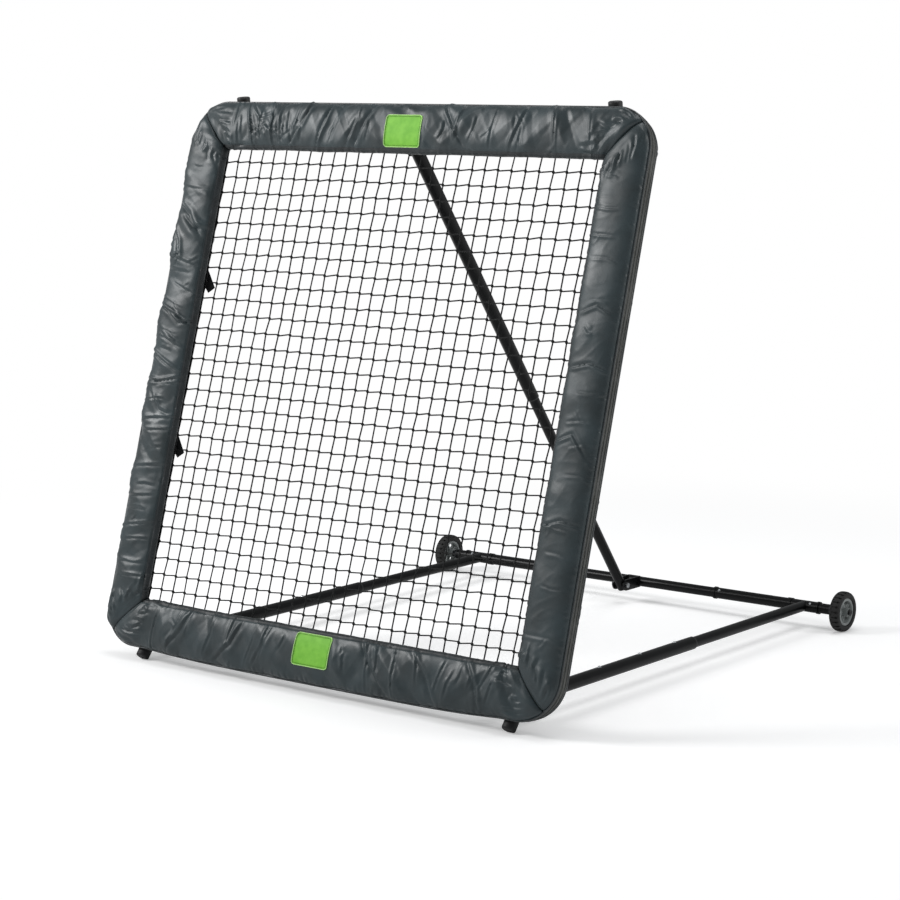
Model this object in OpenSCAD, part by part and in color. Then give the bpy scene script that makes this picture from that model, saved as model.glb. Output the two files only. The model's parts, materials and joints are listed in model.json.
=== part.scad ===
// Pitch back rebounder: a knotted net in a square padded frame, carried on
// short legs, with a low wheeled base behind it and a telescopic rear strut.
// The frame reclines on two pivot bolts at its bottom corners.
// Origin: on the floor, under the middle of the whole machine's footprint.
// +Z is up, the net faces -Y, and the wheels are at +Y.
// Frame parts are drawn flat first: x across, y back through the frame (w),
// z up along the frame (v) from its bottom edge; in_frame() leans them back.

/* [Padded frame] */
// Outer width and height of the square padded frame
frame_size = 1640; // [1300:10:1800]
// How far the frame leans back from upright at its steepest setting
frame_lean = 16; // [14:0.5:20]
// Width of each pad, from the outer edge to the net opening
pad_w = 150; // [144:1:190]
// Thickness of the pads' outer walls, between the two piping lines
pad_wall = 50; // [46:1:60]
// Thickness of the pads at their crown
pad_crown = 96; // [90:1:110]
// Distance from the outer edge at which the crown is highest
pad_crown_at = 65; // [50:1:80]
// How much thinner each face of a pad gets from the crown to its inner edge
pad_inner_drop = 4; // [0:0.5:8]
// Radius of the pads' inner edges
pad_edge_r = 20; // [12:1:26]
// Outer corner radius of the padded frame
pad_corner_r = 120; // [105:1:128]
// How far the outer walls bulge
wall_bulge = 6; // [2:0.5:9]
// How far the bottom pad sags below its outer edge
bottom_sag = 22; // [12:1:25]
// Distance from the middle of a leg to where the bottom pad starts to sag
sag_end = 25; // [25:5:200]
// Diameter of the piping along the pads' outer edges
piping_d = 6; // [4:0.5:8]
// Gap between two covers at a mitred corner
mitre_gap = 0.3; // [0.1:0.1:1]
// Width of the two sewn patches
label_w = 130; // [80:1:180]
// Height of the two sewn patches
label_h = 92; // [60:1:100]
// Distance from the outer edge to the middle of a patch
label_at = 82; // [76:1:90]
// Thickness of a patch
label_t = 0.8; // [0.5:0.1:2]

/* [Steel ring inside the pads] */
// Diameter of the ring's tube
ring_d = 38; // [34:1:40]
// Wall of the ring's tube
ring_wall = 1.5; // [1:0.1:2.5]
// Distance from the frame's outer edge to the tube's centre line
ring_inset = 75; // [70:1:80]
// Length of a corner piece's arm, from where the two centre lines cross
corner_arm = 145; // [140:1:165]
// Length of the reduced tube end inside a corner piece
spigot_len = 45; // [30:1:50]
// Gap all round a reduced tube end in its corner piece
spigot_gap = 0.1; // [0.05:0.05:0.3]
// Clearance between the pads' foam and the corner pieces
foam_gap = 0.4; // [0.3:0.1:1]

/* [Legs and feet] */
// Distance from the padded frame's outer edge to the middle of each leg
leg_inset = 150; // [148:1:183]
// Diameter of the short legs welded behind the ring
leg_d = 32; // [28:1:34]
// Wall of the legs
leg_wall = 2; // [1.5:0.1:3]
// Angle between the legs and the frame's plane
leg_angle = 22; // [18:1:26]
// Leg length from the weld to its outer end
leg_below = 88; // [84:1:96]
// Leg length from the weld to its inner end
leg_above = 26; // [22:1:30]
// Gap of the weld line between a leg and the ring
weld_gap = 0.1; // [0.05:0.05:0.3]
// Distance from the weld to the pivot bolt, along the leg
pivot_below = 28; // [24:1:32]
// Wall of the rubber feet
foot_wall = 3.5; // [2.5:0.1:5]
// Thickness of the rubber under a leg's end
foot_end = 10; // [8:0.5:14]
// Thickness of the plain caps on the upper legs
cap_end = 3; // [2:0.5:6]
// Length of a foot or cap over the leg's tube
foot_grip = 28; // [20:1:34]
// Rounding of the feet and caps
foot_round = 5; // [3:0.5:8]
// Gap between a rubber foot and its leg
foot_gap = 0.1; // [0.05:0.05:0.3]

/* [Net] */
// Number of meshes along each side of the net
net_cells = 17; // [9:1:17]
// Width and thickness of the net's cord
net_cord = 3; // [2:0.5:5]
// Width of the net's border rope
net_border = 5; // [4:0.5:6]
// Distance from the frame's outer edge to the border rope's middle
net_edge_at = 119; // [115:1:124]
// Width of the elastic loops that tie the net to the ring
loop_w = 8; // [5:1:14]
// Thickness of the elastic loops
loop_t = 2.5; // [1.5:0.5:3]
// Gap between a loop and what it goes round
loop_gap = 0.4; // [0.3:0.1:0.6]

/* [Base] */
// Distance from the pivots back to the cross tube
base_len = 1551; // [1300:1:1700]
// Diameter of the front side tubes
side_d = 38; // [36:1:40]
// Diameter of the rear side tubes and of the cross tube
rear_d = 32; // [30:1:32]
// Wall of the front side tubes
side_wall = 1.5; // [1:0.1:1.5]
// Wall of the rear side tubes and of the cross tube
rear_wall = 2; // [1.5:0.1:2.5]
// Length of the front side tubes, behind the pivot
side_front_len = 900; // [860:1:1000]
// Length of a rear side tube inside its front tube
side_overlap = 500; // [490:1:560]
// Distance of the first fixing screw behind the pivot
side_screw_1 = 430; // [425:1:480]
// Distance of the second fixing screw behind the pivot
side_screw_2 = 630; // [560:1:700]
// Distance of the third fixing screw behind the pivot
side_screw_3 = 810; // [760:1:840]
// Front tube length in front of the pivot
side_nose = 12; // [10:0.5:13]
// Length of the cross tube's sleeves
sleeve_len = 382; // [290:1:430]
// How far a sleeve runs past the middle of its side tube
sleeve_over = 57; // [37:1:67]
// Diameter of the sleeves
sleeve_d = 35; // [34:0.5:36]
// Diameter of the sleeves' raised rings
sleeve_ring_d = 39; // [37:0.5:42]
// Width of the sleeves' raised rings
sleeve_ring_w = 16; // [8:1:20]
// Distance from a side tube's middle in to its sleeve's second raised ring
sleeve_ring_in = 56; // [48:1:73]
// How far the cross tube runs past the middle of each side tube
cross_over = 95; // [82:1:102]
// Diameter of the bolts at the three pivots
bolt_d = 10; // [8:0.5:10]
// Running clearance of a bolt in its hole, on the radius
bolt_gap = 0.05; // [0.02:0.01:0.09]
// Thickness of the washer between a leg and its side tube
washer_t = 2; // [1:0.5:3]
// Diameter of the fixing screws
screw_d = 5; // [4:0.5:6]
// Diameter of the fixing screws' heads
screw_head_d = 11; // [9:0.5:12]

/* [Wheels] */
// Diameter of the tyres over their lugs
wheel_d = 125; // [115:1:140]
// Width of the tyres
tyre_w = 34; // [30:1:38]
// Distance from the cross tube's end to a wheel's hub
wheel_over = 19; // [15:1:30]
// Number of lugs round each shoulder of a tyre
lugs = 24; // [16:4:28]
// Depth of the gaps between the lugs
lug_depth = 5; // [3:0.5:6]
// Share of each lug pitch that is gap
lug_gap = 0.4; // [0.3:0.05:0.5]
// Diameter of the rims over their lips
rim_d = 84; // [76:1:88]
// Width of the rims
rim_w = 26; // [22:1:28]
// Height of the rims' lips above the tyre's seat
rim_lip = 6; // [4:0.5:7]
// Number of spokes
spokes = 5; // [3:1:8]
// Width of a spoke at the hub
spoke_w = 15; // [8:1:18]
// Diameter of the hubs
hub_d = 26; // [22:1:30]
// Length of the hubs
hub_len = 44; // [36:1:46]
// Diameter of the axles
axle_d = 12; // [10:0.5:14]
// Running clearance of a wheel on its axle, on the radius
axle_gap = 0.06; // [0.02:0.01:0.09]
// Gap between a hub and the faces that hold it
hub_gap = 0.3; // [0.1:0.1:1]

/* [Strut] */
// Diameter of the strut's upper tube
strut_up_d = 38; // [36:1:38]
// Wall of the strut's upper tube
strut_up_wall = 1.5; // [1:0.1:1.5]
// Diameter of the strut's lower tube
strut_low_d = 32; // [30:1:32]
// Wall of the strut's lower tube
strut_low_wall = 1.5; // [1:0.1:2.5]
// Distance from the frame's top edge to the strut's top bolt
strut_top_at = 120; // [118:1:128]
// Distance of the top bolt behind the frame's middle plane
strut_top_back = 33; // [31:1:38]
// Distance of the bottom bolt in front of the cross tube
strut_foot_at = 80; // [70:1:110]
// Length from the top bolt to the upper tube's mouth
strut_up_len = 942; // [900:1:980]
// Length of the lower tube above the bottom bolt
strut_low_len = 1000; // [960:1:1010]
// Length of the lower tube under the bottom bolt
strut_tail = 14; // [10:1:18]
// Gap between a strut tube and each bracket ear
ear_gap = 1.5; // [1:0.1:3]
// Thickness of the bracket ears
ear_t = 5; // [4:0.5:6]
// Radius of the ears round a bolt
ear_r = 15; // [13:0.5:16]
// How far the strut shortens for each radian of recline
strut_slide_rate = 1291; // [1200:1:1400]
// Free travel of the top bolt along the strut, towards the strut's end
top_slot_run = 15; // [8:1:16]
// Free travel of the top bolt to each side
top_slot_side = 2.2; // [1:0.1:4]
// Running clearance of the strut's bush on the lower tube, on the radius
bush_gap = 0.08; // [0.02:0.01:0.1]
// Length of the bush inside the upper tube
bush_len = 30; // [20:1:34]
// Diameter of the lock button
button_d = 10; // [8:0.5:12]
// Height of the lock button over the upper tube
button_up = 5; // [4.5:0.1:8]
// Travel of the lock button
button_travel = 4; // [2:0.5:4.5]
// Distance from the upper tube's mouth to the lock button
button_at = 48; // [42:1:60]
// Recline of the second setting, from the steepest one
setting_2 = 8; // [4:0.5:12]
// Recline of the third setting, from the steepest one
setting_3 = 20; // [16:0.5:24]
// Recline of the flattest setting, from the steepest one
setting_4 = 32; // [28:0.5:32]

/* [Hidden] */
$fn = 48;
cut = 60;                     // how far a cutting shape runs past what it cuts

SIDES = ["left", "right"];
function side_sign(side) = side == "left" ? -1 : 1;

// Half sizes and radii
half = frame_size / 2;
ring_r = ring_d / 2;
leg_r = leg_d / 2;
side_r = side_d / 2;
rear_r = rear_d / 2;
wheel_r = wheel_d / 2;
bolt_r = bolt_d / 2;
bolt_hole_r = bolt_r + bolt_gap;
head_h = bolt_d * 0.64;
nut_h = bolt_d * 0.8;
hex_r = bolt_d * 0.9;
screw_hole_r = screw_d / 2 + 0.1;
crown = pad_crown / 2;
wall = pad_wall / 2;
piping_r = piping_d / 2;
pad_edge_h = pad_h(pad_w - pad_edge_r) - pad_edge_r;
FACE_STEPS = 10;
EDGE_STEPS = 5;
PIPING_STEPS = 5;
PIPING_ARC = 200;              // part of the piping's round that shows
WALL_STEPS = 6;
ARC_STEPS = 16;

// Across: legs outside, side tubes inside, with a washer between them
leg_x = half - leg_inset;
side_x = leg_x - leg_r - washer_t - side_r;
sleeve_out = side_x + sleeve_over;
sleeve_in = sleeve_out - sleeve_len;
sleeve_ring_at = side_x - sleeve_ring_in;
cross_half = side_x + cross_over;

// Frame plane: the ring's centre line, the legs' weld point and the pivot
ring_half = half - ring_inset;
ring_bend_r = pad_corner_r - ring_inset;
leg_offset = ring_r + leg_r + weld_gap;
weld_v = ring_inset - leg_offset * sin(leg_angle);
weld_w = leg_offset * cos(leg_angle);
function leg_v(t) = weld_v + t * cos(leg_angle);
function leg_w(t) = weld_w + t * sin(leg_angle);
pivot_v = leg_v(-pivot_below);
pivot_w = leg_w(-pivot_below);

// The base lies level: pivots, side tubes, cross tube and axles at one height
axle_z = wheel_r;
function frame_y(v, w) = (v - pivot_v) * sin(frame_lean) + (w - pivot_w) * cos(frame_lean);
function frame_z(v, w) = axle_z + (v - pivot_v) * cos(frame_lean) - (w - pivot_w) * sin(frame_lean);

// The origin is midway between the foremost point and the tyres' rear
foot_r = leg_r + foot_gap + foot_wall;
foot_tip_t = -leg_below - foot_end + foot_round;
lean_leg = leg_angle + frame_lean;
foot_front = (foot_tip_t + pivot_below) * sin(lean_leg)
    - (foot_r - foot_round) * cos(lean_leg) - foot_round;
piping_front = frame_y(0, -wall) - piping_r;
label_lift = 0.1;
patch_front = min([for (p = pad_face(-1)) frame_y(p[0], p[1] - label_lift - label_t)]);
front_y = min(foot_front, piping_front, patch_front);
pivot_y = -(front_y + base_len + wheel_r) / 2;
cross_y = pivot_y + base_len;

// Strut: bottom bolt, top bolt, and the line between them at rest
strut_foot_y = cross_y - strut_foot_at;
top_v = frame_size - strut_top_at;
top_dy = pivot_y + frame_y(top_v, strut_top_back) - strut_foot_y;
top_dz = frame_z(top_v, strut_top_back) - axle_z;
strut_len = norm([top_dy, top_dz]);
side_run = top_slot_side - 0.6;       // sideways travel that the recline uses
strut_angle = atan2(-top_dy, top_dz) + asin(side_run / strut_len);
strut_mouth = strut_len - strut_up_len;
strut_up_r = strut_up_d / 2;
strut_low_r = strut_low_d / 2;
slot_back = 1.2;                      // slack of the top slot behind the bolt
strut_round_at = strut_len + top_slot_run - 8;
SETTINGS = [0, setting_2, setting_3, setting_4];
function slide_at(a) = strut_slide_rate * a * PI / 180;

// Middle of the flat on which a foot stands
foot_face_rho = foot_r - 3;
foot_face_y = -(axle_z - foot_face_rho * sin(lean_leg)) / cos(lean_leg) * sin(lean_leg)
    + foot_face_rho * cos(lean_leg);

// Room round the ring's tube for the elastic loops, and the net's slot
channel_r = ring_r + loop_gap + loop_t + 0.5;
channel_tip = net_border / 2 + loop_gap + loop_t + 0.9;
slot_h = net_cord / 2 + 1.5;
channel_half = ring_half - corner_arm + spigot_len;

// Inner faces of the strut's two brackets, and the pad's opening round the top one
top_inner = strut_up_r + ear_gap;
foot_inner = strut_low_r + ear_gap;
bracket_room = top_inner + ear_t + nut_h + 5;

// Fixing screws along a side tube and along a sleeve of the cross tube
SIDE_SCREWS = [side_screw_1, side_screw_2, side_screw_3];
SLEEVE_SCREWS = [sleeve_in + 22, sleeve_out - 30];

// Wheels: hub ends, tyre's widest radius, tyre seat and rim lips
hub_in = cross_half + wheel_over;
hub_out = hub_in + hub_len;
wheel_at = hub_in + hub_len / 2;
shaft_end = hub_out + hub_gap + 6;
tyre_swell = tyre_w * 0.34;
tyre_mid_r = wheel_r - tyre_swell;
seat_r = rim_d / 2 - rim_lip;
lip_t = 1.6;

echo(pivot = [leg_x, pivot_y, axle_z], cross_y = cross_y, strut_foot_y = strut_foot_y,
     strut_angle = strut_angle, strut_len = strut_len, strut_mouth = strut_mouth);
echo(foot_face = [leg_x, pivot_y + foot_face_y, 0], front_y = front_y);

// ---------------------------------------------------------------- placing

// Leans a piece that is drawn in the frame's own plane
module in_frame() {
    translate([0, pivot_y, axle_z])
        rotate([-frame_lean, 0, 0])
            translate([0, -pivot_w, -pivot_v])
                children();
}

// The four sides of the frame, each drawn as the bottom one
module on_side(name) {
    if (name == "bottom") children();
    if (name == "top") translate([0, 0, frame_size]) mirror([0, 0, 1]) children();
    if (name == "left") translate([-half, 0, half]) rotate([0, 90, 0]) children();
    if (name == "right") translate([half, 0, half]) rotate([0, -90, 0]) children();
}

// Puts a shape on the leg's axis: its +Z runs up the leg from the weld point
module on_leg(sx, top = false) {
    translate([0, 0, top ? frame_size : 0])
        mirror([0, 0, top ? 1 : 0])
            translate([sx * leg_x, weld_w, weld_v])
                rotate([-leg_angle, 0, 0])
                    children();
}

// Puts a shape on the strut's axis: its +Z runs up the strut from the bottom bolt
module on_strut() {
    translate([0, strut_foot_y, axle_z]) rotate([strut_angle, 0, 0]) children();
}

// A round bar along X from x0 to x1
module bar_x(x0, x1, r) {
    translate([x0, 0, 0]) rotate([0, 90, 0]) cylinder(h = x1 - x0, r = r);
}

// A tube along +Z from z0 to z1
module tube(z0, z1, r, t) {
    translate([0, 0, z0]) difference() {
        cylinder(h = z1 - z0, r = r);
        translate([0, 0, -1]) cylinder(h = z1 - z0 + 2, r = r - t);
    }
}

// A screw with a domed head, its seat at z = 0 and its shank going down
module dome_screw(d, head_d, len) {
    head_h = head_d * 0.32;
    translate([0, 0, -len]) cylinder(h = len, r = d / 2);
    rotate_extrude() difference() {
        intersection() {
            translate([0, head_h - dome_r(head_d, head_h)]) circle(r = dome_r(head_d, head_h));
            square([head_d, head_d]);
        }
        translate([0, head_h - 1]) square([d / 3, 2]);
    }
}
function dome_r(d, h) = (d * d / 4 + h * h) / (2 * h);

// A bolt along X from x0 to its hex head's seat at x1; dir -1 turns it round
module hex_bolt(x0, x1, dir = 1) {
    mirror([dir < 0 ? 1 : 0, 0, 0]) {
        bar_x(x0, x1 + 0.5, bolt_r);
        translate([x1, 0, 0]) rotate([0, 90, 0]) intersection() {
            cylinder(h = head_h, r = hex_r, $fn = 6);
            cylinder(h = head_h, r1 = hex_r * 1.2, r2 = hex_r * 0.9);
        }
    }
}

// A hex nut along X from x0, with room for the bolt's thread
module hex_nut(x0, dir = 1) {
    mirror([dir < 0 ? 1 : 0, 0, 0]) translate([x0, 0, 0]) rotate([0, 90, 0]) difference() {
        cylinder(h = nut_h, r = hex_r, $fn = 6);
        translate([0, 0, -1]) cylinder(h = nut_h + 2, r = bolt_hole_r);
    }
}

// ---------------------------------------------------------------- pads

// Half the pad's thickness at a distance u from the outer edge
function pad_h(u) =
    u < pad_crown_at ? wall + (crown - wall) * sin(90 * u / pad_crown_at)
    : crown - pad_inner_drop * pow((u - pad_crown_at) / (pad_w - pad_edge_r - pad_crown_at), 2);

// One face of the pad's section, from the piping as far as the corner's radius
function pad_face(s) =
    [for (i = [1:FACE_STEPS]) let (u = pad_corner_r * i / FACE_STEPS) [u, s * pad_h(u)]];

// The rest of that face, round the pad's inner edge
function pad_edge(s) =
    [for (i = [0:EDGE_STEPS]) let (a = 90 * i / EDGE_STEPS)
        [pad_w - pad_edge_r + pad_edge_r * sin(a), s * (pad_edge_h + pad_edge_r * cos(a))]];

// Piping along an outer edge, from the face round to the outer wall
function piping(s) =
    let (from = atan((crown - wall) * PI / 2 / pad_crown_at))
    [for (i = [0:PIPING_STEPS]) let (a = from + PIPING_ARC * i / PIPING_STEPS)
        [piping_r * cos(a), s * (wall + piping_r * sin(a))]];

// The bulged outer wall, from the back edge to the front edge
function outer_wall() =
    [for (i = [1:WALL_STEPS - 1]) let (a = 180 * i / WALL_STEPS) [-wall_bulge * sin(a), wall * cos(a)]];

function reversed(list) = [for (i = [len(list) - 1:-1:0]) list[i]];

// Arc round the ring's centre, from the front, past the outer side, to the back
function ring_arc(r, open) =
    [for (i = [0:ARC_STEPS]) let (a = -open - (360 - 2 * open) * i / ARC_STEPS)
        [ring_inset + r * cos(a), r * sin(a)]];

// Room in the section for the ring alone, or for the ring with the elastic loops
function narrow_room() =
    let (r = (ring_r + foam_gap) / cos(180 / ARC_STEPS)) ring_arc(r, asin(slot_h / r));
function wide_room() =
    let (tilt = asin((channel_r - channel_tip) / (net_edge_at - ring_inset)))
    let (x = net_edge_at + channel_tip)
    let (front = [[x, -slot_h], [x, -channel_tip]], back = [[x, channel_tip], [x, slot_h]])
    concat(front, ring_arc(channel_r, 90 - tilt), back);

// Section of a pad (u, w); room is what it leaves free, end its inner edge
module pad_section(room, end) {
    polygon(concat(
        reversed(piping(-1)), pad_face(-1), end == pad_w ? pad_edge(-1) : [],
        [[end, -slot_h]], room, [[end, slot_h]],
        end == pad_w ? reversed(pad_edge(1)) : [], reversed(pad_face(1)), piping(1), outer_wall()
    ));
}

// A section (u, w) drawn out along X
module along_x(x0, x1) {
    translate([x1, 0, 0]) rotate([0, -90, 0]) linear_extrude(x1 - x0) children();
}

// Plain pad: straight run, round ends and mitred corners
module pad_solid() {
    straight = half - pad_corner_r;
    intersection() {
        union() {
            along_x(-channel_half, channel_half) pad_section(wide_room(), pad_w);
            for (sx = [-1, 1]) mirror([sx < 0 ? 1 : 0, 0, 0]) {
                along_x(channel_half, straight) pad_section(narrow_room(), pad_w);
                translate([straight, 0, pad_corner_r]) rotate([90, 90, 0]) rotate_extrude(angle = 60)
                    translate([pad_corner_r, 0]) mirror([1, 0]) pad_section(narrow_room(), pad_corner_r);
            }
        }
        mitre_block();
    }
}

// Everything between the two mitres of one side
module mitre_block() {
    low = -cut;
    high = pad_w + 10;
    g = mitre_gap * 0.7;
    translate([0, cut * 2, 0]) rotate([90, 0, 0]) linear_extrude(4 * cut)
        polygon([[-half + low + g, low], [half - low - g, low],
                 [half - high - g, high], [-half + high + g, high]]);
}

// Room for a leg with its foot or cap, open to the back
module leg_room(sx, top) {
    r = foot_r + 0.6;
    on_leg(sx, top) {
        translate([0, 0, -leg_below - cut]) cylinder(h = leg_below + leg_above + cut + 1, r = r);
        translate([-r * 0.8, 0, -leg_below - cut + 1])
            cube([r * 1.6, cut, leg_below + leg_above + cut - 4]);
    }
}

// Opening at the back of the bottom pad for a hinge and its side tube
module hinge_room(sx) {
    x0 = side_x - side_r - nut_h - 5;
    x1 = leg_x + leg_r + head_h + 5;
    w0 = pivot_w - norm([side_nose, side_r]) - 1.5;
    translate([sx > 0 ? x0 : -x1, w0, -cut]) cube([x1 - x0, cut, cut + pivot_v + 60]);
}

// Opening at the back of the top pad for the strut and its bracket
module bracket_room_cut() {
    translate([-bracket_room, -4, frame_size - pad_w - cut])
        cube([2 * bracket_room, cut + 10, cut + pad_w - ring_inset + channel_r + 3]);
}

// The bottom pad hangs slack between the legs
module belly() {
    steps = 8;
    run = leg_x - sag_end;
    translate([0, wall - 1, 0]) rotate([90, 0, 0]) linear_extrude(2 * wall - 2) polygon(concat(
        [[run, 12], [-run, 12]],
        [for (i = [-steps:steps]) let (s = i / steps)
            [s * run, -wall_bulge + 2 - (bottom_sag - wall_bulge + 2) * (1 - pow(abs(s), 5))]]
    ));
}

module pad(name) {
    color([0.2, 0.2, 0.21]) in_frame() difference() {
        on_side(name) union() {
            pad_solid();
            if (name == "bottom") belly();
        }
        for (sx = [-1, 1]) {
            if (name == "bottom" || sx == -1 && name == "left" || sx == 1 && name == "right") {
                leg_room(sx, false);
                hinge_room(sx);
            }
            if (name == "top" || sx == -1 && name == "left" || sx == 1 && name == "right")
                leg_room(sx, true);
        }
        if (name == "top") bracket_room_cut();
    }
}

// A sewn patch that follows the crown of the pad's front
module label_patch(name) {
    steps = 8;
    front = [for (i = [0:steps]) let (u = label_at - label_h / 2 + label_h * i / steps) u];
    color([0.55, 0.8, 0.3]) in_frame() on_side(name)
        along_x(-label_w / 2, label_w / 2) polygon(concat(
            [for (u = front) [u, -patch_h(u) - label_lift]],
            reversed([for (u = front) [u, -patch_h(u) - label_lift - label_t]])
        ));
}
function patch_h(u) = u < pad_w - pad_edge_r ? pad_h(u)
    : pad_edge_h + sqrt(max(0, pow(pad_edge_r, 2) - pow(u - pad_w + pad_edge_r, 2)));

// ---------------------------------------------------------------- steel ring

// A straight tube of the ring, with reduced ends for the corner pieces
module frame_tube(name) {
    run = ring_half - corner_arm;
    r_end = ring_r - ring_wall - spigot_gap;
    color([0.13, 0.13, 0.14]) in_frame() on_side(name) translate([0, 0, ring_inset]) difference() {
        union() {
            bar_x(-run + 0.1, run - 0.1, ring_r);
            bar_x(-run - spigot_len, run + spigot_len, r_end);
        }
        bar_x(-run - spigot_len - 1, run + spigot_len + 1, r_end - ring_wall);
        for (s = [-1, 1]) translate([s * (run + spigot_len / 2), 0, 0])
            rotate([-90, 0, 0]) cylinder(h = cut, r = screw_hole_r);
    }
}

// Half-round sweep of a corner piece, solid, of radius r
module corner_sweep(r, extra) {
    arm = corner_arm - ring_bend_r;
    rotate([90, 0, 0]) rotate([0, 0, -90]) rotate_extrude(angle = 90)
        translate([ring_bend_r, 0]) circle(r = r);
    translate([-arm - extra, 0, -ring_bend_r]) rotate([0, 90, 0]) cylinder(h = arm + extra, r = r);
    translate([ring_bend_r, 0, 0]) cylinder(h = arm + extra, r = r);
}

module frame_corner(sx, top) {
    color([0.13, 0.13, 0.14]) in_frame()
        translate([0, 0, top ? frame_size : 0]) mirror([0, 0, top ? 1 : 0])
            mirror([sx < 0 ? 1 : 0, 0, 0]) difference() {
                translate([ring_half - ring_bend_r, 0, ring_inset + ring_bend_r]) difference() {
                    corner_sweep(ring_r, 0);
                    corner_sweep(ring_r - ring_wall, 1);
                }
                translate([ring_half - corner_arm + spigot_len / 2, 0, ring_inset])
                    rotate([-90, 0, 0]) cylinder(h = cut, r = screw_hole_r);
                translate([ring_half, 0, ring_inset + corner_arm - spigot_len / 2])
                    rotate([-90, 0, 0]) cylinder(h = cut, r = screw_hole_r);
            }
}

// The eight screws that hold the tubes in the corner pieces
module frame_screws() {
    at = ring_half - corner_arm + spigot_len / 2;
    color([0.3, 0.3, 0.3]) in_frame()
        for (name = ["bottom", "top", "left", "right"]) on_side(name) for (s = [-1, 1])
            translate([s * at, ring_r + 0.05, ring_inset])
                rotate([-90, 0, 0]) dome_screw(screw_d, screw_head_d * 0.8, 5);
}

// ---------------------------------------------------------------- legs, feet

module leg(sx, top) {
    color([0.13, 0.13, 0.14]) in_frame() on_leg(sx, top) difference() {
        tube(-leg_below, leg_above, leg_r, leg_wall);
        if (!top) translate([0, 0, -pivot_below]) bar_x(-cut, cut, bolt_hole_r);
    }
}

// Rubber shoe over a leg's end; thickness under the end is e
module shoe(e) {
    rotate_extrude() difference() {
        union() {
            translate([0, foot_round]) square([foot_r, foot_grip + e - foot_round]);
            square([foot_r - foot_round, foot_round + 1]);
            translate([foot_r - foot_round, foot_round]) circle(r = foot_round);
        }
        translate([-cut, -1]) square([cut, 2 * cut]);
        translate([0, e]) square([leg_r + foot_gap, foot_grip + 1]);
    }
}

module foot(sx) {
    color([0.08, 0.08, 0.08]) difference() {
        in_frame() on_leg(sx) translate([0, 0, -leg_below - foot_end]) shoe(foot_end);
        translate([sx * leg_x - cut, pivot_y - 2 * cut, -cut]) cube([2 * cut, 3 * cut, cut]);
    }
}

module leg_cap(sx) {
    color([0.08, 0.08, 0.08]) in_frame() on_leg(sx, true)
        translate([0, 0, -leg_below - cap_end]) shoe(cap_end);
}

// ---------------------------------------------------------------- net

// Net as one sheet of square meshes inside a border rope
module net() {
    span = 2 * (half - net_edge_at);
    pitch = span / net_cells;
    outer = span / 2 + net_border / 2;
    inner = span / 2 - net_border / 2;
    lines = [for (i = [0:net_cells]) abs(2 * i - net_cells) == net_cells
        ? (i == 0 ? -inner : inner) : (i - net_cells / 2) * pitch];
    function from(i) = lines[i] + (i == 0 ? 0 : net_cord / 2);
    function to(i) = lines[i + 1] - (i == net_cells - 1 ? 0 : net_cord / 2);
    color([0.1, 0.1, 0.1]) in_frame() translate([0, net_cord / 2, half]) rotate([90, 0, 0])
        linear_extrude(net_cord) difference() {
            translate([-outer, -outer]) square(2 * outer);
            for (i = [0:net_cells - 1]) for (j = [0:net_cells - 1])
                translate([from(i), from(j)]) square([to(i) - from(i), to(j) - from(j)]);
        }
}

// Outline of a belt round the ring's tube and the net's border
function belt(big, small) =
    let (reach = net_edge_at - ring_inset, tilt = asin((big - small) / reach))
    concat(
        [for (i = [0:ARC_STEPS]) let (a = 90 - tilt + (180 + 2 * tilt) * i / ARC_STEPS)
            [big * cos(a), big * sin(a)]],
        [for (i = [0:ARC_STEPS / 2]) let (a = tilt - 90 + (180 - 2 * tilt) * i / (ARC_STEPS / 2))
            [reach + small * cos(a), small * sin(a)]]
    );

// Elastic loop that ties the net to the ring
module net_loop() {
    big = ring_r + loop_gap;
    small = norm([net_border, net_cord]) / 2 + loop_gap;
    inner = belt(big, small);
    outer = belt(big + loop_t, small + loop_t);
    n = len(inner);
    translate([0, 0, ring_inset]) along_x(-loop_w / 2, loop_w / 2)
        polygon(concat(outer, inner), [[for (i = [0:n - 1]) i], [for (i = [0:n - 1]) n + i]]);
}

module net_loops() {
    pitch = 2 * (half - net_edge_at) / net_cells;
    color([0.16, 0.16, 0.16]) in_frame()
        for (name = ["bottom", "top", "left", "right"]) on_side(name)
            for (i = [1:2:net_cells - 2])
                translate([(i - (net_cells - 1) / 2) * pitch, 0, 0]) net_loop();
}

// ---------------------------------------------------------------- top bracket

// A strap of the ears' width from [0, 0] to the point p, in 2D
module strap_2d(p, r) {
    n = [-p[1], p[0]] / norm(p) * r;
    polygon([n, -n, p - n, p + n]);
}

// Side view of a bracket: ear from a tube at [0, 0] to a bolt at p
module ear_2d(p, r, tube_r) {
    difference() {
        union() {
            strap_2d(p, r);
            translate(p) circle(r = r);
        }
        circle(r = tube_r + weld_gap);
        translate(p) circle(r = bolt_hole_r);
    }
}

// Two ears and the saddle that joins them on the tube
module bracket(p, r, tube_r, inner) {
    outer = inner + ear_t;
    for (s = [-1, 1]) along_x(s > 0 ? inner : -outer, s > 0 ? outer : -inner) ear_2d(p, r, tube_r);
    along_x(-inner - 0.5, inner + 0.5) difference() {
        intersection() {
            strap_2d(p, r);
            circle(r = tube_r + weld_gap + 4);
        }
        circle(r = tube_r + weld_gap);
    }
}

module strut_bracket() {
    color([0.13, 0.13, 0.14]) in_frame() on_side("top") translate([0, 0, ring_inset])
        bracket([strut_top_at - ring_inset, strut_top_back], ear_r, ring_r, top_inner);
}

module at_top_bolt() {
    in_frame() translate([0, strut_top_back, top_v]) children();
}

module strut_top_bolt() {
    reach = top_inner + ear_t;
    color([0.5, 0.5, 0.5]) at_top_bolt() hex_bolt(-reach - nut_h - 2, reach + 0.1);
}

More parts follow.
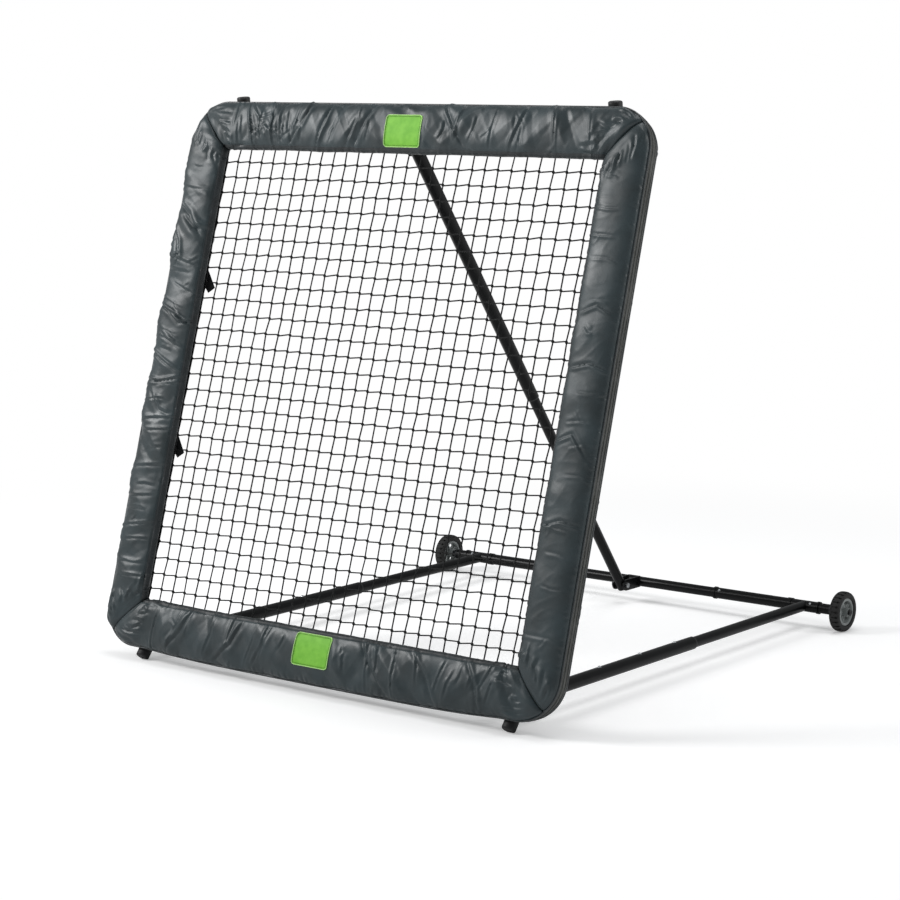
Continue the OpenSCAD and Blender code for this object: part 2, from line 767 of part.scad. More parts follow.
module strut_top_nut() {
    color([0.5, 0.5, 0.5]) at_top_bolt() hex_nut(top_inner + ear_t + 0.1, -1);
}

// ---------------------------------------------------------------- base

// A round bar along Y from y0 to y1
module bar_y(y0, y1, r) {
    translate([0, y0, 0]) rotate([-90, 0, 0]) cylinder(h = y1 - y0, r = r);
}

module at_pivot(sx) {
    translate([sx * side_x, pivot_y, axle_z]) children();
}

module side_screw_holes() {
    for (y = SIDE_SCREWS) translate([0, y, 0]) cylinder(h = cut, r = screw_hole_r);
}

module side_tube_front(sx) {
    color([0.1, 0.1, 0.1]) at_pivot(sx) difference() {
        bar_y(-side_nose, side_front_len, side_r);
        bar_y(-side_nose - 1, side_front_len + 1, side_r - side_wall);
        bar_x(-cut, cut, bolt_hole_r);
        side_screw_holes();
    }
}

module side_tube_rear(sx) {
    color([0.1, 0.1, 0.1]) at_pivot(sx) difference() {
        bar_y(side_front_len - side_overlap, base_len - 6, rear_r);
        bar_y(side_front_len - side_overlap - 1, base_len, rear_r - rear_wall);
        translate([0, base_len, 0]) bar_x(-cut, cut, sleeve_d / 2 + weld_gap);
        side_screw_holes();
    }
}

// Nylon ring that centres the rear tube in the front tube's mouth
module side_liner(sx) {
    color([0.06, 0.06, 0.06]) at_pivot(sx) translate([0, side_front_len, 0]) difference() {
        union() {
            bar_y(0.1, 5, side_r);
            bar_y(-bush_len, 1, side_r - side_wall - 0.1);
        }
        bar_y(-bush_len - 1, 6, rear_r + 0.1);
    }
}

// Domed plug that closes a tube's end; the dome is centred on the nearest bolt
module end_plug(nose, r, t) {
    translate([0, 0, -nose]) rotate([180, 0, 0]) {
        intersection() {
            cylinder(h = cut, r = r);
            translate([0, 0, -nose]) sphere(r = norm([nose, r]));
        }
        translate([0, 0, -4]) cylinder(h = 5, r = r - t - 0.1);
    }
}

module side_cap(sx) {
    color([0.06, 0.06, 0.06]) at_pivot(sx) rotate([-90, 0, 0]) end_plug(side_nose, side_r, side_wall);
}

module pivot_bolt(sx) {
    color([0.5, 0.5, 0.5]) translate([0, pivot_y, axle_z])
        hex_bolt(side_x - side_r - nut_h - 2, leg_x + leg_r + 0.3, sx);
}

module pivot_washers() {
    color([0.5, 0.5, 0.5]) for (sx = [-1, 1]) translate([sx * side_x, pivot_y, axle_z])
        mirror([sx < 0 ? 1 : 0, 0, 0]) translate([side_r + 0.05, 0, 0]) rotate([0, 90, 0])
            tube(0, washer_t - 0.3, bolt_d, bolt_d - bolt_hole_r);
}

module pivot_nuts() {
    color([0.5, 0.5, 0.5]) for (sx = [-1, 1]) translate([0, pivot_y, axle_z])
        hex_nut(side_x - side_r - nut_h - 0.1, sx);
}

module at_cross() {
    translate([0, cross_y, axle_z]) children();
}

// Fixing screws of a sleeve, at 45 degrees up and forward
module at_sleeve_screws(sx) {
    for (x = SLEEVE_SCREWS) translate([sx * x, 0, 0]) rotate([45, 0, 0]) children();
}

module cross_tube() {
    color([0.1, 0.1, 0.1]) at_cross() difference() {
        bar_x(-cross_half, cross_half, rear_r);
        bar_x(-cross_half - 1, cross_half + 1, rear_r - rear_wall);
        for (sx = [-1, 1]) at_sleeve_screws(sx) cylinder(h = cut, r = screw_hole_r);
    }
}

// Outer section of the cross tube, with its raised rings
module cross_sleeve(sx) {
    color([0.1, 0.1, 0.1]) at_cross() mirror([sx < 0 ? 1 : 0, 0, 0]) difference() {
        union() {
            bar_x(sleeve_in, sleeve_out, sleeve_d / 2);
            bar_x(sleeve_in, sleeve_in + sleeve_ring_w / 2, sleeve_ring_d / 2);
            bar_x(sleeve_ring_at, sleeve_ring_at + sleeve_ring_w, sleeve_ring_d / 2);
            bar_x(sleeve_out - sleeve_ring_w / 2, sleeve_out, sleeve_ring_d / 2);
        }
        bar_x(sleeve_in - 1, sleeve_out + 1, rear_r + 0.1);
        at_sleeve_screws(1) cylinder(h = cut, r = screw_hole_r);
    }
}

module strut_clevis() {
    color([0.1, 0.1, 0.1]) at_cross() bracket([0, -strut_foot_at], ear_r + 3, rear_r, foot_inner);
}

module clevis_bolt() {
    reach = foot_inner + ear_t;
    color([0.5, 0.5, 0.5]) translate([0, strut_foot_y, axle_z])
        hex_bolt(-reach - nut_h - 2, reach + 0.1);
}

module clevis_nut() {
    color([0.5, 0.5, 0.5]) translate([0, strut_foot_y, axle_z])
        hex_nut(foot_inner + ear_t + 0.1, -1);
}

module base_screws() {
    color([0.4, 0.4, 0.4]) for (sx = [-1, 1]) {
        at_pivot(sx) for (y = SIDE_SCREWS) translate([0, y, side_r + 0.05])
            dome_screw(screw_d, screw_head_d, side_r - rear_r + 3);
        at_cross() at_sleeve_screws(sx) translate([0, 0, sleeve_d / 2 + 0.05])
            dome_screw(screw_d, screw_head_d * 0.8, 6);
    }
}

// ---------------------------------------------------------------- wheels

// Turns a section drawn as [radius, distance along X] about the X axis
module turned() {
    rotate([0, 90, 0]) rotate_extrude() children();
}

// Plug in the cross tube's end, boss and shaft, in one piece
module axle(sx) {
    face = cross_half + 0.1;
    flange = 4;
    color([0.25, 0.25, 0.25]) at_cross() mirror([sx < 0 ? 1 : 0, 0, 0]) {
        bar_x(face - 40, face + 1, rear_r - rear_wall - 0.05);
        bar_x(face, face + flange, rear_r);
        translate([face + flange - 0.01, 0, 0]) rotate([0, 90, 0])
            cylinder(h = hub_in - hub_gap - face - flange, r1 = rear_r - 1, r2 = axle_d * 0.9);
        bar_x(face, shaft_end, axle_d / 2);
    }
}

// Cap nuts that keep the wheels on
module axle_nuts() {
    nut = axle_d * 0.85;
    color([0.1, 0.1, 0.1]) at_cross() for (sx = [-1, 1]) mirror([sx < 0 ? 1 : 0, 0, 0])
        translate([hub_out + hub_gap, 0, 0]) rotate([0, 90, 0]) difference() {
            union() {
                cylinder(h = 6, r = nut, $fn = 6);
                intersection() {
                    cylinder(h = nut, r = nut * 0.8);
                    sphere(r = nut);
                }
            }
            translate([0, 0, -1]) cylinder(h = 7.2, r = axle_d / 2 + 0.1);
        }
}

// Rounded tyre section, as a superellipse over the bead
function power(x, e) = sign(x) * pow(abs(x), e);
function tyre_point(a) = [tyre_mid_r + tyre_swell * power(cos(a), 0.72), tyre_w / 2 * power(sin(a), 0.72)];

module tyre_section() {
    bead = rim_w / 2 - lip_t - 0.1;
    limit = 118;
    polygon(concat(
        [[seat_r + 0.1, -bead], [rim_d / 2 + 0.4, -bead]],
        [for (a = [-limit:limit / 8:limit]) tyre_point(a)],
        [[rim_d / 2 + 0.4, bead], [seat_r + 0.1, bead]]
    ));
}

// Gaps of the tread: staggered shoulder lugs and a row of small middle blocks
module tread_cuts() {
    pitch = 360 / lugs;
    gap = 2 * wheel_r * sin(pitch / 2) * lug_gap;
    for (i = [0:lugs - 1]) {
        rotate([(i + 0.5) * pitch, 0, 0]) translate([tyre_w * 0.17, -gap / 2, wheel_r - lug_depth])
            cube([tyre_w, gap, lug_depth + 2]);
        rotate([i * pitch, 0, 0]) translate([-tyre_w * 1.17, -gap / 2, wheel_r - lug_depth])
            cube([tyre_w, gap, lug_depth + 2]);
        rotate([(i + 0.5) * pitch, 0, 0]) translate([-tyre_w * 0.17 - 1, -gap / 4, wheel_r - lug_depth / 2])
            cube([tyre_w * 0.34 + 2, gap / 2, lug_depth]);
    }
}

module tyre(sx) {
    color([0.07, 0.07, 0.07]) at_cross() translate([sx * wheel_at, 0, 0]) difference() {
        turned() tyre_section();
        tread_cuts();
    }
}

module rim(sx) {
    lip = rim_w / 2;
    well = seat_r - 3;
    spoke_at = [for (i = [0:spokes - 1]) 36 + i * 360 / spokes];
    color([0.42, 0.44, 0.43]) at_cross() translate([sx * wheel_at, 0, 0])
        mirror([sx < 0 ? 1 : 0, 0, 0]) difference() {
            union() {
                turned() polygon([
                    [seat_r, -lip + lip_t], [seat_r, lip - lip_t], [rim_d / 2, lip - lip_t],
                    [rim_d / 2, lip], [seat_r - 1, lip], [well, lip - 4],
                    [well, 4 - lip], [seat_r - 1, -lip], [rim_d / 2, -lip], [rim_d / 2, lip_t - lip]
                ]);
                bar_x(-hub_len / 2, hub_len / 2, hub_d / 2);
                for (a = spoke_at) rotate([a, 0, 0]) spoke(well);
            }
            bar_x(-hub_len, hub_len, axle_d / 2 + axle_gap);
        }
}

// A spoke along +Y: a tapered web, proud towards the outside, with a middle rib
module spoke(well) {
    root = hub_d / 2 - 4;
    tip = well + 1;
    translate([-2, 0, 0]) rotate([90, 0, 90]) linear_extrude(8)
        polygon([[root, -spoke_w / 2], [tip, -spoke_w * 0.36], [tip, spoke_w * 0.36], [root, spoke_w / 2]]);
    translate([-7, root + 1, -1.5]) cube([14.5, tip - root - 0.4, 3]);
}

// ---------------------------------------------------------------- strut

module strut_lower() {
    color([0.1, 0.1, 0.1]) on_strut() difference() {
        tube(-strut_tail, strut_low_len, strut_low_r, strut_low_wall);
        bar_x(-cut, cut, bolt_hole_r);
        for (a = SETTINGS) translate([0, 0, strut_mouth + button_at - slide_at(a)])
            rotate([-90, 0, 0]) cylinder(h = cut, r = button_d / 2 + 0.6);
    }
}

module strut_end_plug() {
    color([0.06, 0.06, 0.06]) on_strut() end_plug(strut_tail, strut_low_r, strut_low_wall);
}

// Long hole for the top bolt: the strut's fold is modelled with its top pivot open
module top_slot() {
    r = bolt_r + top_slot_side;
    low = strut_len - bolt_r - slot_back + r;
    high = strut_len + bolt_r + top_slot_run - r;
    for (s = [low, high]) translate([0, 0, s]) bar_x(-cut, cut, r);
    translate([-cut, -r, low]) cube([2 * cut, 2 * r, high - low]);
}

module strut_upper() {
    color([0.1, 0.1, 0.1]) on_strut() difference() {
        intersection() {
            tube(strut_mouth, strut_round_at + strut_up_r, strut_up_r, strut_up_wall);
            union() {
                translate([0, 0, strut_round_at]) bar_x(-cut, cut, strut_up_r);
                translate([-cut, -cut, strut_mouth - 1])
                    cube([2 * cut, 2 * cut, strut_round_at - strut_mouth + 1]);
            }
        }
        top_slot();
        translate([0, 0, strut_mouth + button_at]) rotate([-90, 0, 0])
            cylinder(h = cut, r = button_d / 2 + 0.1);
    }
}

// Nylon bush in the upper tube's mouth
module strut_bush() {
    color([0.06, 0.06, 0.06]) on_strut() translate([0, 0, strut_mouth]) difference() {
        union() {
            translate([0, 0, -5]) cylinder(h = 4.9, r = strut_up_r);
            translate([0, 0, -1]) cylinder(h = bush_len + 1, r = strut_up_r - strut_up_wall - 0.1);
        }
        translate([0, 0, -6]) cylinder(h = bush_len + 8, r = strut_low_r + bush_gap);
    }
}

// Sprung button that drops into the lower tube's holes
module strut_button() {
    low = strut_low_r + 0.6;
    high = strut_up_r + button_up;
    color([0.5, 0.5, 0.5]) on_strut() translate([0, 0, strut_mouth + button_at]) rotate([-90, 0, 0])
        intersection() {
            translate([0, 0, low]) cylinder(h = high - low, r = button_d / 2);
            translate([0, 0, high - button_d]) sphere(r = button_d);
        }
}

// ---------------------------------------------------------------- all nodes

for (name = ["top", "bottom", "left", "right"]) {
    frame_tube(name);
    pad(name);
}
for (side = SIDES) {
    sx = side_sign(side);
    frame_corner(sx, false);
    frame_corner(sx, true);
    leg(sx, false);
    leg(sx, true);
    foot(sx);
    leg_cap(sx);
    side_tube_front(sx);
    side_tube_rear(sx);
    side_liner(sx);
    side_cap(sx);
    pivot_bolt(sx);
    cross_sleeve(sx);
    axle(sx);
    tyre(sx);
    rim(sx);
}
label_patch("top");  // label_top
label_patch("bottom");  // label_bottom
net();
net_loops();
strut_bracket();
strut_top_bolt();
strut_top_nut();
frame_screws();
pivot_washers();
pivot_nuts();
cross_tube();
strut_clevis();
clevis_bolt();
clevis_nut();
base_screws();
axle_nuts();
strut_lower();
strut_end_plug();
strut_upper();
strut_bush();
strut_button();
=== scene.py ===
"""Looks of the pitch back rebounder: wrinkled covers, knotted net, patches, finishes, camera and light."""
import json
import math
import random

import bmesh
import bpy
import numpy as np
from mathutils import Matrix, Vector, noise
from mathutils.bvhtree import BVHTree


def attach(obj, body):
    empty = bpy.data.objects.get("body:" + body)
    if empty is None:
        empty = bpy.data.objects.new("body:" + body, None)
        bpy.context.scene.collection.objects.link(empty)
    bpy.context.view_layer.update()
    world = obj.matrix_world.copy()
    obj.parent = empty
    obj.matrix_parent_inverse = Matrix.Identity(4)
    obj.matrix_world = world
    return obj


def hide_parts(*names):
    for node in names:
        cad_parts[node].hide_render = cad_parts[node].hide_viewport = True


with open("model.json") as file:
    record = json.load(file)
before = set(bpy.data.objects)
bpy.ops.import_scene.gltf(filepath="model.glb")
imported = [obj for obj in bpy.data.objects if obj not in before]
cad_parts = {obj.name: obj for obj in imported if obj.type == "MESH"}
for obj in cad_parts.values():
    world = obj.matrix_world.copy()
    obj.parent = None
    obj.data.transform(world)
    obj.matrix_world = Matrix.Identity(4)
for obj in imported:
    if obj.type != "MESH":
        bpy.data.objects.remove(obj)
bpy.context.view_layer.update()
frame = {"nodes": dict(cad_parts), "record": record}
MM = 0.001

# Padded frame, in mm. The covers' section lies a little inside the solids'; the rest is as the solids have it.
HALF = 820.0  # half of the frame's outer size
PAD_W = 142.0  # width of a cover's front face
WALL = 22.0  # half of the outer wall's height
FRONT, BACK = 48.0, 44.0  # how far the crown stands from the net's plane, in front and behind
CROWN_AT = 65.0  # the crown's distance from the outer edge
HEM_FRONT = 18.0  # how far the inner hem stands from the net's plane
SLOT_AT = 129.0  # where front and back meet round the net, from the outer edge
FULLNESS = 2.5  # power of the rounded flanks
BACK_FALL = 1.5  # power of the back's fall to the slot
FACE_GAP = 1.5  # from a piped edge to the face's rounding
CORNER_R = 120.0
BULGE = 2.5  # of the outer wall
SLANT = 8.0  # how far the wall's back edge lies inside its front edge
SAG = 22.0  # of the bottom cover, with the wall's bulge
SAG_RUN = 645.0  # half of the length that sags
SAG_SQUARE, SAG_FALL = 5, 1.3  # powers of the sag along the pad and up it
FRONT_LIFT = 0.5  # share of the sag that the front edge doesn't take
PIPING_R = 3.0
RING_INSET = 75.0  # the steel ring's middle line, from the outer edge
RING_R = 19.0
CHANNEL_R = 22.4  # of the foam's channel round the ring
CHANNEL_TIP = 6.3  # half of the channel's height where it opens to the net
CHANNEL_END = 124.5
SLOT_H = 3.0  # half of the slot's height
NET_EDGE = 119.0  # the net's border, from the outer edge
PATCH_W, PATCH_H = 130.0, 92.0
PATCH_AT = {"top": 82.0, "bottom": 82.0}  # middle of each patch, from the outer edge
LEG_X = 670.0
LEG_ANGLE = math.radians(22)
WELD_V, WELD_W = 61.852, 32.544  # where a leg's middle line crosses the ring, up and behind
LEG_ROOM = 20.2  # radius of a leg's room
LEG_ROOM_MID, LEG_ROOM_LONG, LEG_CUT_LONG = -133, 320, 314  # along the leg
HINGE_ROOM = (649.2, 98, 0), (96.4, 200, 191.8)  # middle and size of the room round a side tube's end
BRACKET_ROOM = (0, 96, 149.6), (77, 200, 200)  # the same for the strut's bracket

# The frame's own plane: X across, Y into its depth, Z up it, leaning back about the pivot
LEAN = math.radians(16)
PIVOT = Vector((0, -775.236, 62.5))
PIVOT_V, PIVOT_W = 35.890, 22.055
FRAME_AT = (Matrix.Translation(PIVOT) @ Matrix.Rotation(-LEAN, 4, "X")
            @ Matrix.Translation((0, -PIVOT_W, -PIVOT_V)))
SIDES = {
    "bottom": Matrix.Identity(4),
    "top": Matrix.Translation((0, 0, 2 * HALF)) @ Matrix.Diagonal((1, 1, -1, 1)),
    "left": Matrix.Translation((-HALF, 0, HALF)) @ Matrix.Rotation(math.pi / 2, 4, "Y"),
    "right": Matrix.Translation((HALF, 0, HALF)) @ Matrix.Rotation(-math.pi / 2, 4, "Y"),
}


# ------------------------------------------------------------------ camera

CAMERA_TURN = math.radians(37.94), math.radians(8.71)  # azimuth and elevation
CAMERA_TARGET = Vector((0, -205.7, 612.1)) * MM
CAMERA_AWAY = 7.362  # m
SENSOR_MM, LENS_MM = 36, 100.5


def make_camera():
    """Long lens at eye height, to the right of the net."""
    azimuth, elevation = CAMERA_TURN
    back = Vector((math.sin(azimuth) * math.cos(elevation), -math.cos(azimuth) * math.cos(elevation),
                   math.sin(elevation)))
    data = bpy.data.cameras.new("camera")
    data.sensor_width = SENSOR_MM
    data.lens = LENS_MM
    data.clip_end = 100
    camera = bpy.data.objects.new("camera", data)
    bpy.context.scene.collection.objects.link(camera)
    camera.location = CAMERA_TARGET + back * CAMERA_AWAY
    camera.rotation_euler = (-back).to_track_quat("-Z", "Y").to_euler()
    bpy.context.scene.camera = camera


make_camera()


# ------------------------------------------------------------------ materials

def srgb(code):
    """Linear colour of an sRGB hex value."""
    parts = [int(code[i:i + 2], 16) / 255 for i in (1, 3, 5)]
    return [p / 12.92 if p <= 0.04045 else ((p + 0.055) / 1.055) ** 2.4 for p in parts] + [1.0]


def add_node(tree, kind, inputs=None, **settings):
    """Adds a node; settings are its properties, inputs its sockets' values or what feeds them."""
    node = tree.nodes.new(kind)
    for key, value in settings.items():
        setattr(node, key, value)
    for key, value in (inputs or {}).items():
        if isinstance(value, bpy.types.NodeSocket):
            tree.links.new(value, node.inputs[key])
        else:
            node.inputs[key].default_value = value
    return node


def new_material(name, **shader):
    """A material with one Principled shader, whose constant sockets are given by name."""
    material = bpy.data.materials.new(name)
    material.use_nodes = True
    tree = material.node_tree
    tree.nodes.clear()
    values = {key.replace("_", " "): value for key, value in shader.items()}
    principled = add_node(tree, "ShaderNodeBsdfPrincipled", values)
    add_node(tree, "ShaderNodeOutputMaterial", {"Surface": principled.outputs[0]})
    return material, tree, principled


def object_coords(tree, turn=(0, 0, 0)):
    """Object coordinates, turned if a pattern runs at a slant."""
    coords = add_node(tree, "ShaderNodeTexCoord")
    return add_node(tree, "ShaderNodeMapping", {"Vector": coords.outputs["Object"], "Rotation": turn}).outputs[0]


def cloud(tree, where, size_mm, detail=3, distortion=0):
    """Noise whose patches have a real size."""
    return add_node(tree, "ShaderNodeTexNoise", {"Vector": where, "Scale": 1000 / size_mm, "Detail": detail,
                                                 "Distortion": distortion}).outputs[0]


def stripes(tree, where, pitch_mm, direction, distortion=0.3):
    """Bands with a real pitch."""
    return add_node(tree, "ShaderNodeTexWave", {"Vector": where, "Scale": 1000 / pitch_mm / 20 * math.pi,
                                                "Distortion": distortion},
                    wave_type="BANDS", bands_direction=direction).outputs[1]


def mottle(tree, principled, dark, light, size_mm, where):
    """Colour that drifts between two tones."""
    share = add_node(tree, "ShaderNodeMapRange", {"Value": cloud(tree, where, size_mm, 4), "From Min": 0.35,
                                                  "From Max": 0.65})
    mix = add_node(tree, "ShaderNodeMix", {0: share.outputs[0], 6: srgb(dark), 7: srgb(light)}, data_type="RGBA")
    tree.links.new(mix.outputs[2], principled.inputs["Base Color"])


def relief(tree, principled, height, depth_mm, strength=1.0, under=None):
    """Bump of a real depth, over another if one is given."""
    inputs = {"Height": height, "Distance": depth_mm * MM, "Strength": strength}
    if under is not None:
        inputs["Normal"] = under
    node = add_node(tree, "ShaderNodeBump", inputs)
    tree.links.new(node.outputs[0], principled.inputs["Normal"])
    return node.outputs[0]


def drift_roughness(tree, principled, size_mm, where, low, high):
    """Roughness that wanders between two values."""
    share = add_node(tree, "ShaderNodeMapRange", {"Value": cloud(tree, where, size_mm), "From Min": 0.3,
                                                  "From Max": 0.7, "To Min": low, "To Max": high})
    tree.links.new(share.outputs[0], principled.inputs["Roughness"])


def coated_polyester():
    """Polyester with a PU coat: dark grey, satin, its plain weave showing faintly through the coat."""
    material, tree, principled = new_material("coated_polyester", Sheen_Weight=0.1, Sheen_Roughness=0.4)
    where = object_coords(tree)
    mottle(tree, principled, "#1e292c", "#2a373b", 90, where)
    drift_roughness(tree, principled, 70, where, 0.38, 0.5)
    weave = add_node(tree, "ShaderNodeMath", {0: stripes(tree, where, 1.6, "X"), 1: stripes(tree, where, 1.6, "Z")},
                     operation="ADD")
    fine = relief(tree, principled, weave.outputs[0], 0.04, 0.4)
    relief(tree, principled, cloud(tree, where, 35, 3, 1.2), 1.2, 0.35, fine)
    return material


def hem_tape_painted_shade():
    """Binding tape sewn along the inner hem: the same cloth folded double, a little duller, its colour darkened with
    painted shade where the hem turns in.
    """
    material, tree, principled = new_material("hem_tape_painted_shade", Sheen_Weight=0.1, Sheen_Roughness=0.4)
    where = object_coords(tree)
    # tones darker than the cover's: painted shade of the inner hem
    mottle(tree, principled, "#171c1e", "#20272a", 40, where)
    drift_roughness(tree, principled, 30, where, 0.45, 0.6)
    relief(tree, principled, cloud(tree, where, 9, 3), 0.6, 0.5)
    return material


def wall_cloth():
    """Cloth of the outer walls: woven without the coat's shine, dark olive grey."""
    material, tree, principled = new_material("wall_cloth", Sheen_Weight=0.1, Sheen_Roughness=0.5)
    where = object_coords(tree)
    mottle(tree, principled, "#262823", "#32342e", 50, where)
    drift_roughness(tree, principled, 40, where, 0.5, 0.65)
    relief(tree, principled, cloud(tree, where, 18, 3), 1.0, 0.4)
    return material


def vinyl_piping():
    """Welt of the coated cloth, pulled over a cord: smoother and a little lighter."""
    material, tree, principled = new_material("vinyl_piping", Roughness=0.36)
    where = object_coords(tree)
    mottle(tree, principled, "#2e3234", "#3a3f41", 25, where)
    relief(tree, principled, cloud(tree, where, 5, 2), 0.3, 0.5)
    return material


def powder_coat():
    """Black powder-coated steel: satin, with the fine orange peel of baked powder."""
    material, tree, principled = new_material("powder_coat", Roughness=0.32, Specular_IOR_Level=0.16)
    where = object_coords(tree)
    mottle(tree, principled, "#08090a", "#0e0f10", 60, where)
    relief(tree, principled, cloud(tree, where, 2.2, 2), 0.12, 0.5)
    return material


def braided_cord():
    """Black braided polyethylene cord: dull, with the braid's ribs at a slant."""
    material, tree, principled = new_material("braided_cord", Roughness=0.7, Specular_IOR_Level=0.3)
    where = object_coords(tree, (0, 0.8, 0.8))
    mottle(tree, principled, "#070808", "#101112", 12, where)
    relief(tree, principled, stripes(tree, where, 1.8, "DIAGONAL", 1.0), 0.3, 0.6)
    return material


def woven_patch():
    """Woven green patch: matt polyester threads in fine rows."""
    material, tree, principled = new_material("woven_patch", Roughness=0.6, Specular_IOR_Level=0.35,
                                              Sheen_Weight=0.15)
    where = object_coords(tree)
    mottle(tree, principled, "#6fb82f", "#7fc53d", 18, where)
    relief(tree, principled, stripes(tree, where, 1.5, "Z", 0.4), 0.1, 0.5)
    return material


def sewing_thread(name, dark, light):
    """Spun sewing thread, matt, with its twist."""
    material, tree, principled = new_material(name, Roughness=0.65, Specular_IOR_Level=0.3)
    where = object_coords(tree, (0.6, 0.6, 0))
    mottle(tree, principled, dark, light, 3, where)
    relief(tree, principled, stripes(tree, where, 0.8, "DIAGONAL"), 0.1, 0.5)
    return material


def elastic_band():
    """Black woven elastic: matt, ribbed across."""
    material, tree, principled = new_material("elastic_band", Roughness=0.7, Specular_IOR_Level=0.3)
    where = object_coords(tree)
    mottle(tree, principled, "#101112", "#1c1d1f", 8, where)
    relief(tree, principled, stripes(tree, where, 1.6, "X"), 0.25, 0.6)
    return material


def zinc_plate():
    """Bright zinc plate on small steel parts: grey metal with a faint cloudy grain."""
    material, tree, principled = new_material("zinc_plate", Metallic=1.0, Roughness=0.34)
    where = object_coords(tree)
    mottle(tree, principled, "#9a9da0", "#b9bcbe", 4, where)
    relief(tree, principled, cloud(tree, where, 0.9), 0.05, 0.4)
    return material


def dark_steel():
    """Oiled dark steel of the axles, with turning marks."""
    material, tree, principled = new_material("dark_steel", Metallic=1.0, Roughness=0.42)
    where = object_coords(tree)
    mottle(tree, principled, "#2c2d2f", "#414346", 9, where)
    relief(tree, principled, stripes(tree, where, 0.9, "X"), 0.04, 0.4)
    return material


def moulded(name, dark, light, roughness, grain_mm, depth_mm):
    """Moulded part: even colour with the fine spark texture of its mould."""
    material, tree, principled = new_material(name, Roughness=roughness, Specular_IOR_Level=0.45)
    where = object_coords(tree)
    mottle(tree, principled, dark, light, 30, where)
    relief(tree, principled, cloud(tree, where, grain_mm), depth_mm, 0.5)
    return material


COVER = coated_polyester()
SHADED_BINDING = hem_tape_painted_shade()
WALL_CLOTH = wall_cloth()
PIPING = vinyl_piping()
CORD = braided_cord()
PATCH = woven_patch()
DARK_THREAD = sewing_thread("dark_thread", "#17191a", "#26292a")
PALE_THREAD = sewing_thread("pale_thread", "#b9e88d", "#cdf3a8")
ELASTIC = elastic_band()
NODE_FINISH = {
    "tube": powder_coat(),
    "cover": COVER,
    "label": PATCH,
    "net_cord": CORD,
    "elastic": ELASTIC,
    "foot_rubber": moulded("moulded_rubber", "#0e0e0f", "#171718", 0.62, 1.5, 0.12),
    "plastic": moulded("black_polypropylene", "#101112", "#18191a", 0.45, 1.1, 0.06),
    "zinc": zinc_plate(),
    "axle_steel": dark_steel(),
    "tyre": moulded("tyre_rubber", "#131313", "#1f1f1e", 0.72, 2.0, 0.2),
    "rim": moulded("grey_polypropylene", "#6f7473", "#838887", 0.42, 1.2, 0.08),
}
for entry in frame["record"]["subparts"]:
    finish = NODE_FINISH[entry["material_slot"]]
    frame["nodes"][entry["node"]].data.materials.clear()
    frame["nodes"][entry["node"]].data.materials.append(finish)


# ------------------------------------------------------------------ helpers for pieces

def finish_piece(name, bm, place, body, slot, *materials):
    """Turns a bmesh in mm into a finished object at its place, riding on a body."""
    bm.transform(Matrix.Scale(MM, 4) @ place)
    if place.to_3x3().determinant() < 0:
        bmesh.ops.reverse_faces(bm, faces=bm.faces)
    mesh = bpy.data.meshes.new(name)
    bm.to_mesh(mesh)
    bm.free()
    for material in materials:
        mesh.materials.append(material)
    mesh.polygons.foreach_set("use_smooth", [True] * len(mesh.polygons))
    obj = bpy.data.objects.new(name, mesh)
    bpy.context.scene.collection.objects.link(obj)
    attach(obj, body)
    return obj


def cords(paths, radius, closed=False, roundness=1):
    """Round cords along lines of points, as one bmesh."""
    curve = bpy.data.curves.new("cords", "CURVE")
    curve.dimensions = "3D"
    curve.bevel_depth = radius
    curve.bevel_resolution = roundness
    curve.use_fill_caps = True
    for path in paths:
        spline = curve.splines.new("POLY")
        spline.points.add(len(path) - 1)
        for point, place in zip(spline.points, path):
            point.co = (*place, 1)
        spline.use_cyclic_u = closed
    holder = bpy.data.objects.new("cords", curve)
    mesh = bpy.data.meshes.new_from_object(holder)
    bm = bmesh.new()
    bm.from_mesh(mesh)
    bpy.data.objects.remove(holder)
    bpy.data.curves.remove(curve)
    bpy.data.meshes.remove(mesh)
    return bm


def evaluated(obj):
    """The mesh that an object's modifiers give."""
    graph = bpy.context.evaluated_depsgraph_get()
    return bpy.data.meshes.new_from_object(obj.evaluated_get(graph), depsgraph=graph)


# ------------------------------------------------------------------ section of the pads

def flank(t):
    """Rise of a rounded flank: t is 0 at its crown and 1 at its foot."""
    return (1 - min(1.0, max(0.0, t)) ** FULLNESS) ** (1 / FULLNESS)


def depth_at(u, back=False):
    """How far a pad's face stands from the net's plane, at a distance u from its outer edge."""
    top = BACK if back else FRONT
    start = (SLANT if back else 0) + FACE_GAP
    if u < CROWN_AT:
        return WALL + (top - WALL) * flank((CROWN_AT - u) / (CROWN_AT - start))
    if back:
        return SLOT_H + (top - SLOT_H) * (1 - ((u - CROWN_AT) / (SLOT_AT - CROWN_AT)) ** BACK_FALL)
    return HEM_FRONT + (top - HEM_FRONT) * flank((u - CROWN_AT) / (PAD_W - CROWN_AT))


def even(points, count):
    """Spreads count + 1 points evenly along a line of points."""
    far = [0.0]
    for a, b in zip(points, points[1:]):
        far.append(far[-1] + math.dist(a, b))
    spread, k = [], 0
    for i in range(count + 1):
        goal = far[-1] * i / count
        while k < len(points) - 2 and far[k + 1] < goal:
            k += 1
        t = (goal - far[k]) / (far[k + 1] - far[k])
        spread.append(tuple(p + (q - p) * t for p, q in zip(points[k], points[k + 1])))
    return spread


# Steps of the section's ring along its front, inner wall, channel, back and outer wall
FRONT_N, INNER_N, CHANNEL_N, BACK_N, OUTER_N = 46, 5, 10, 30, 8
CURVE_STEPS = 200  # fine steps along a face before they are spread evenly


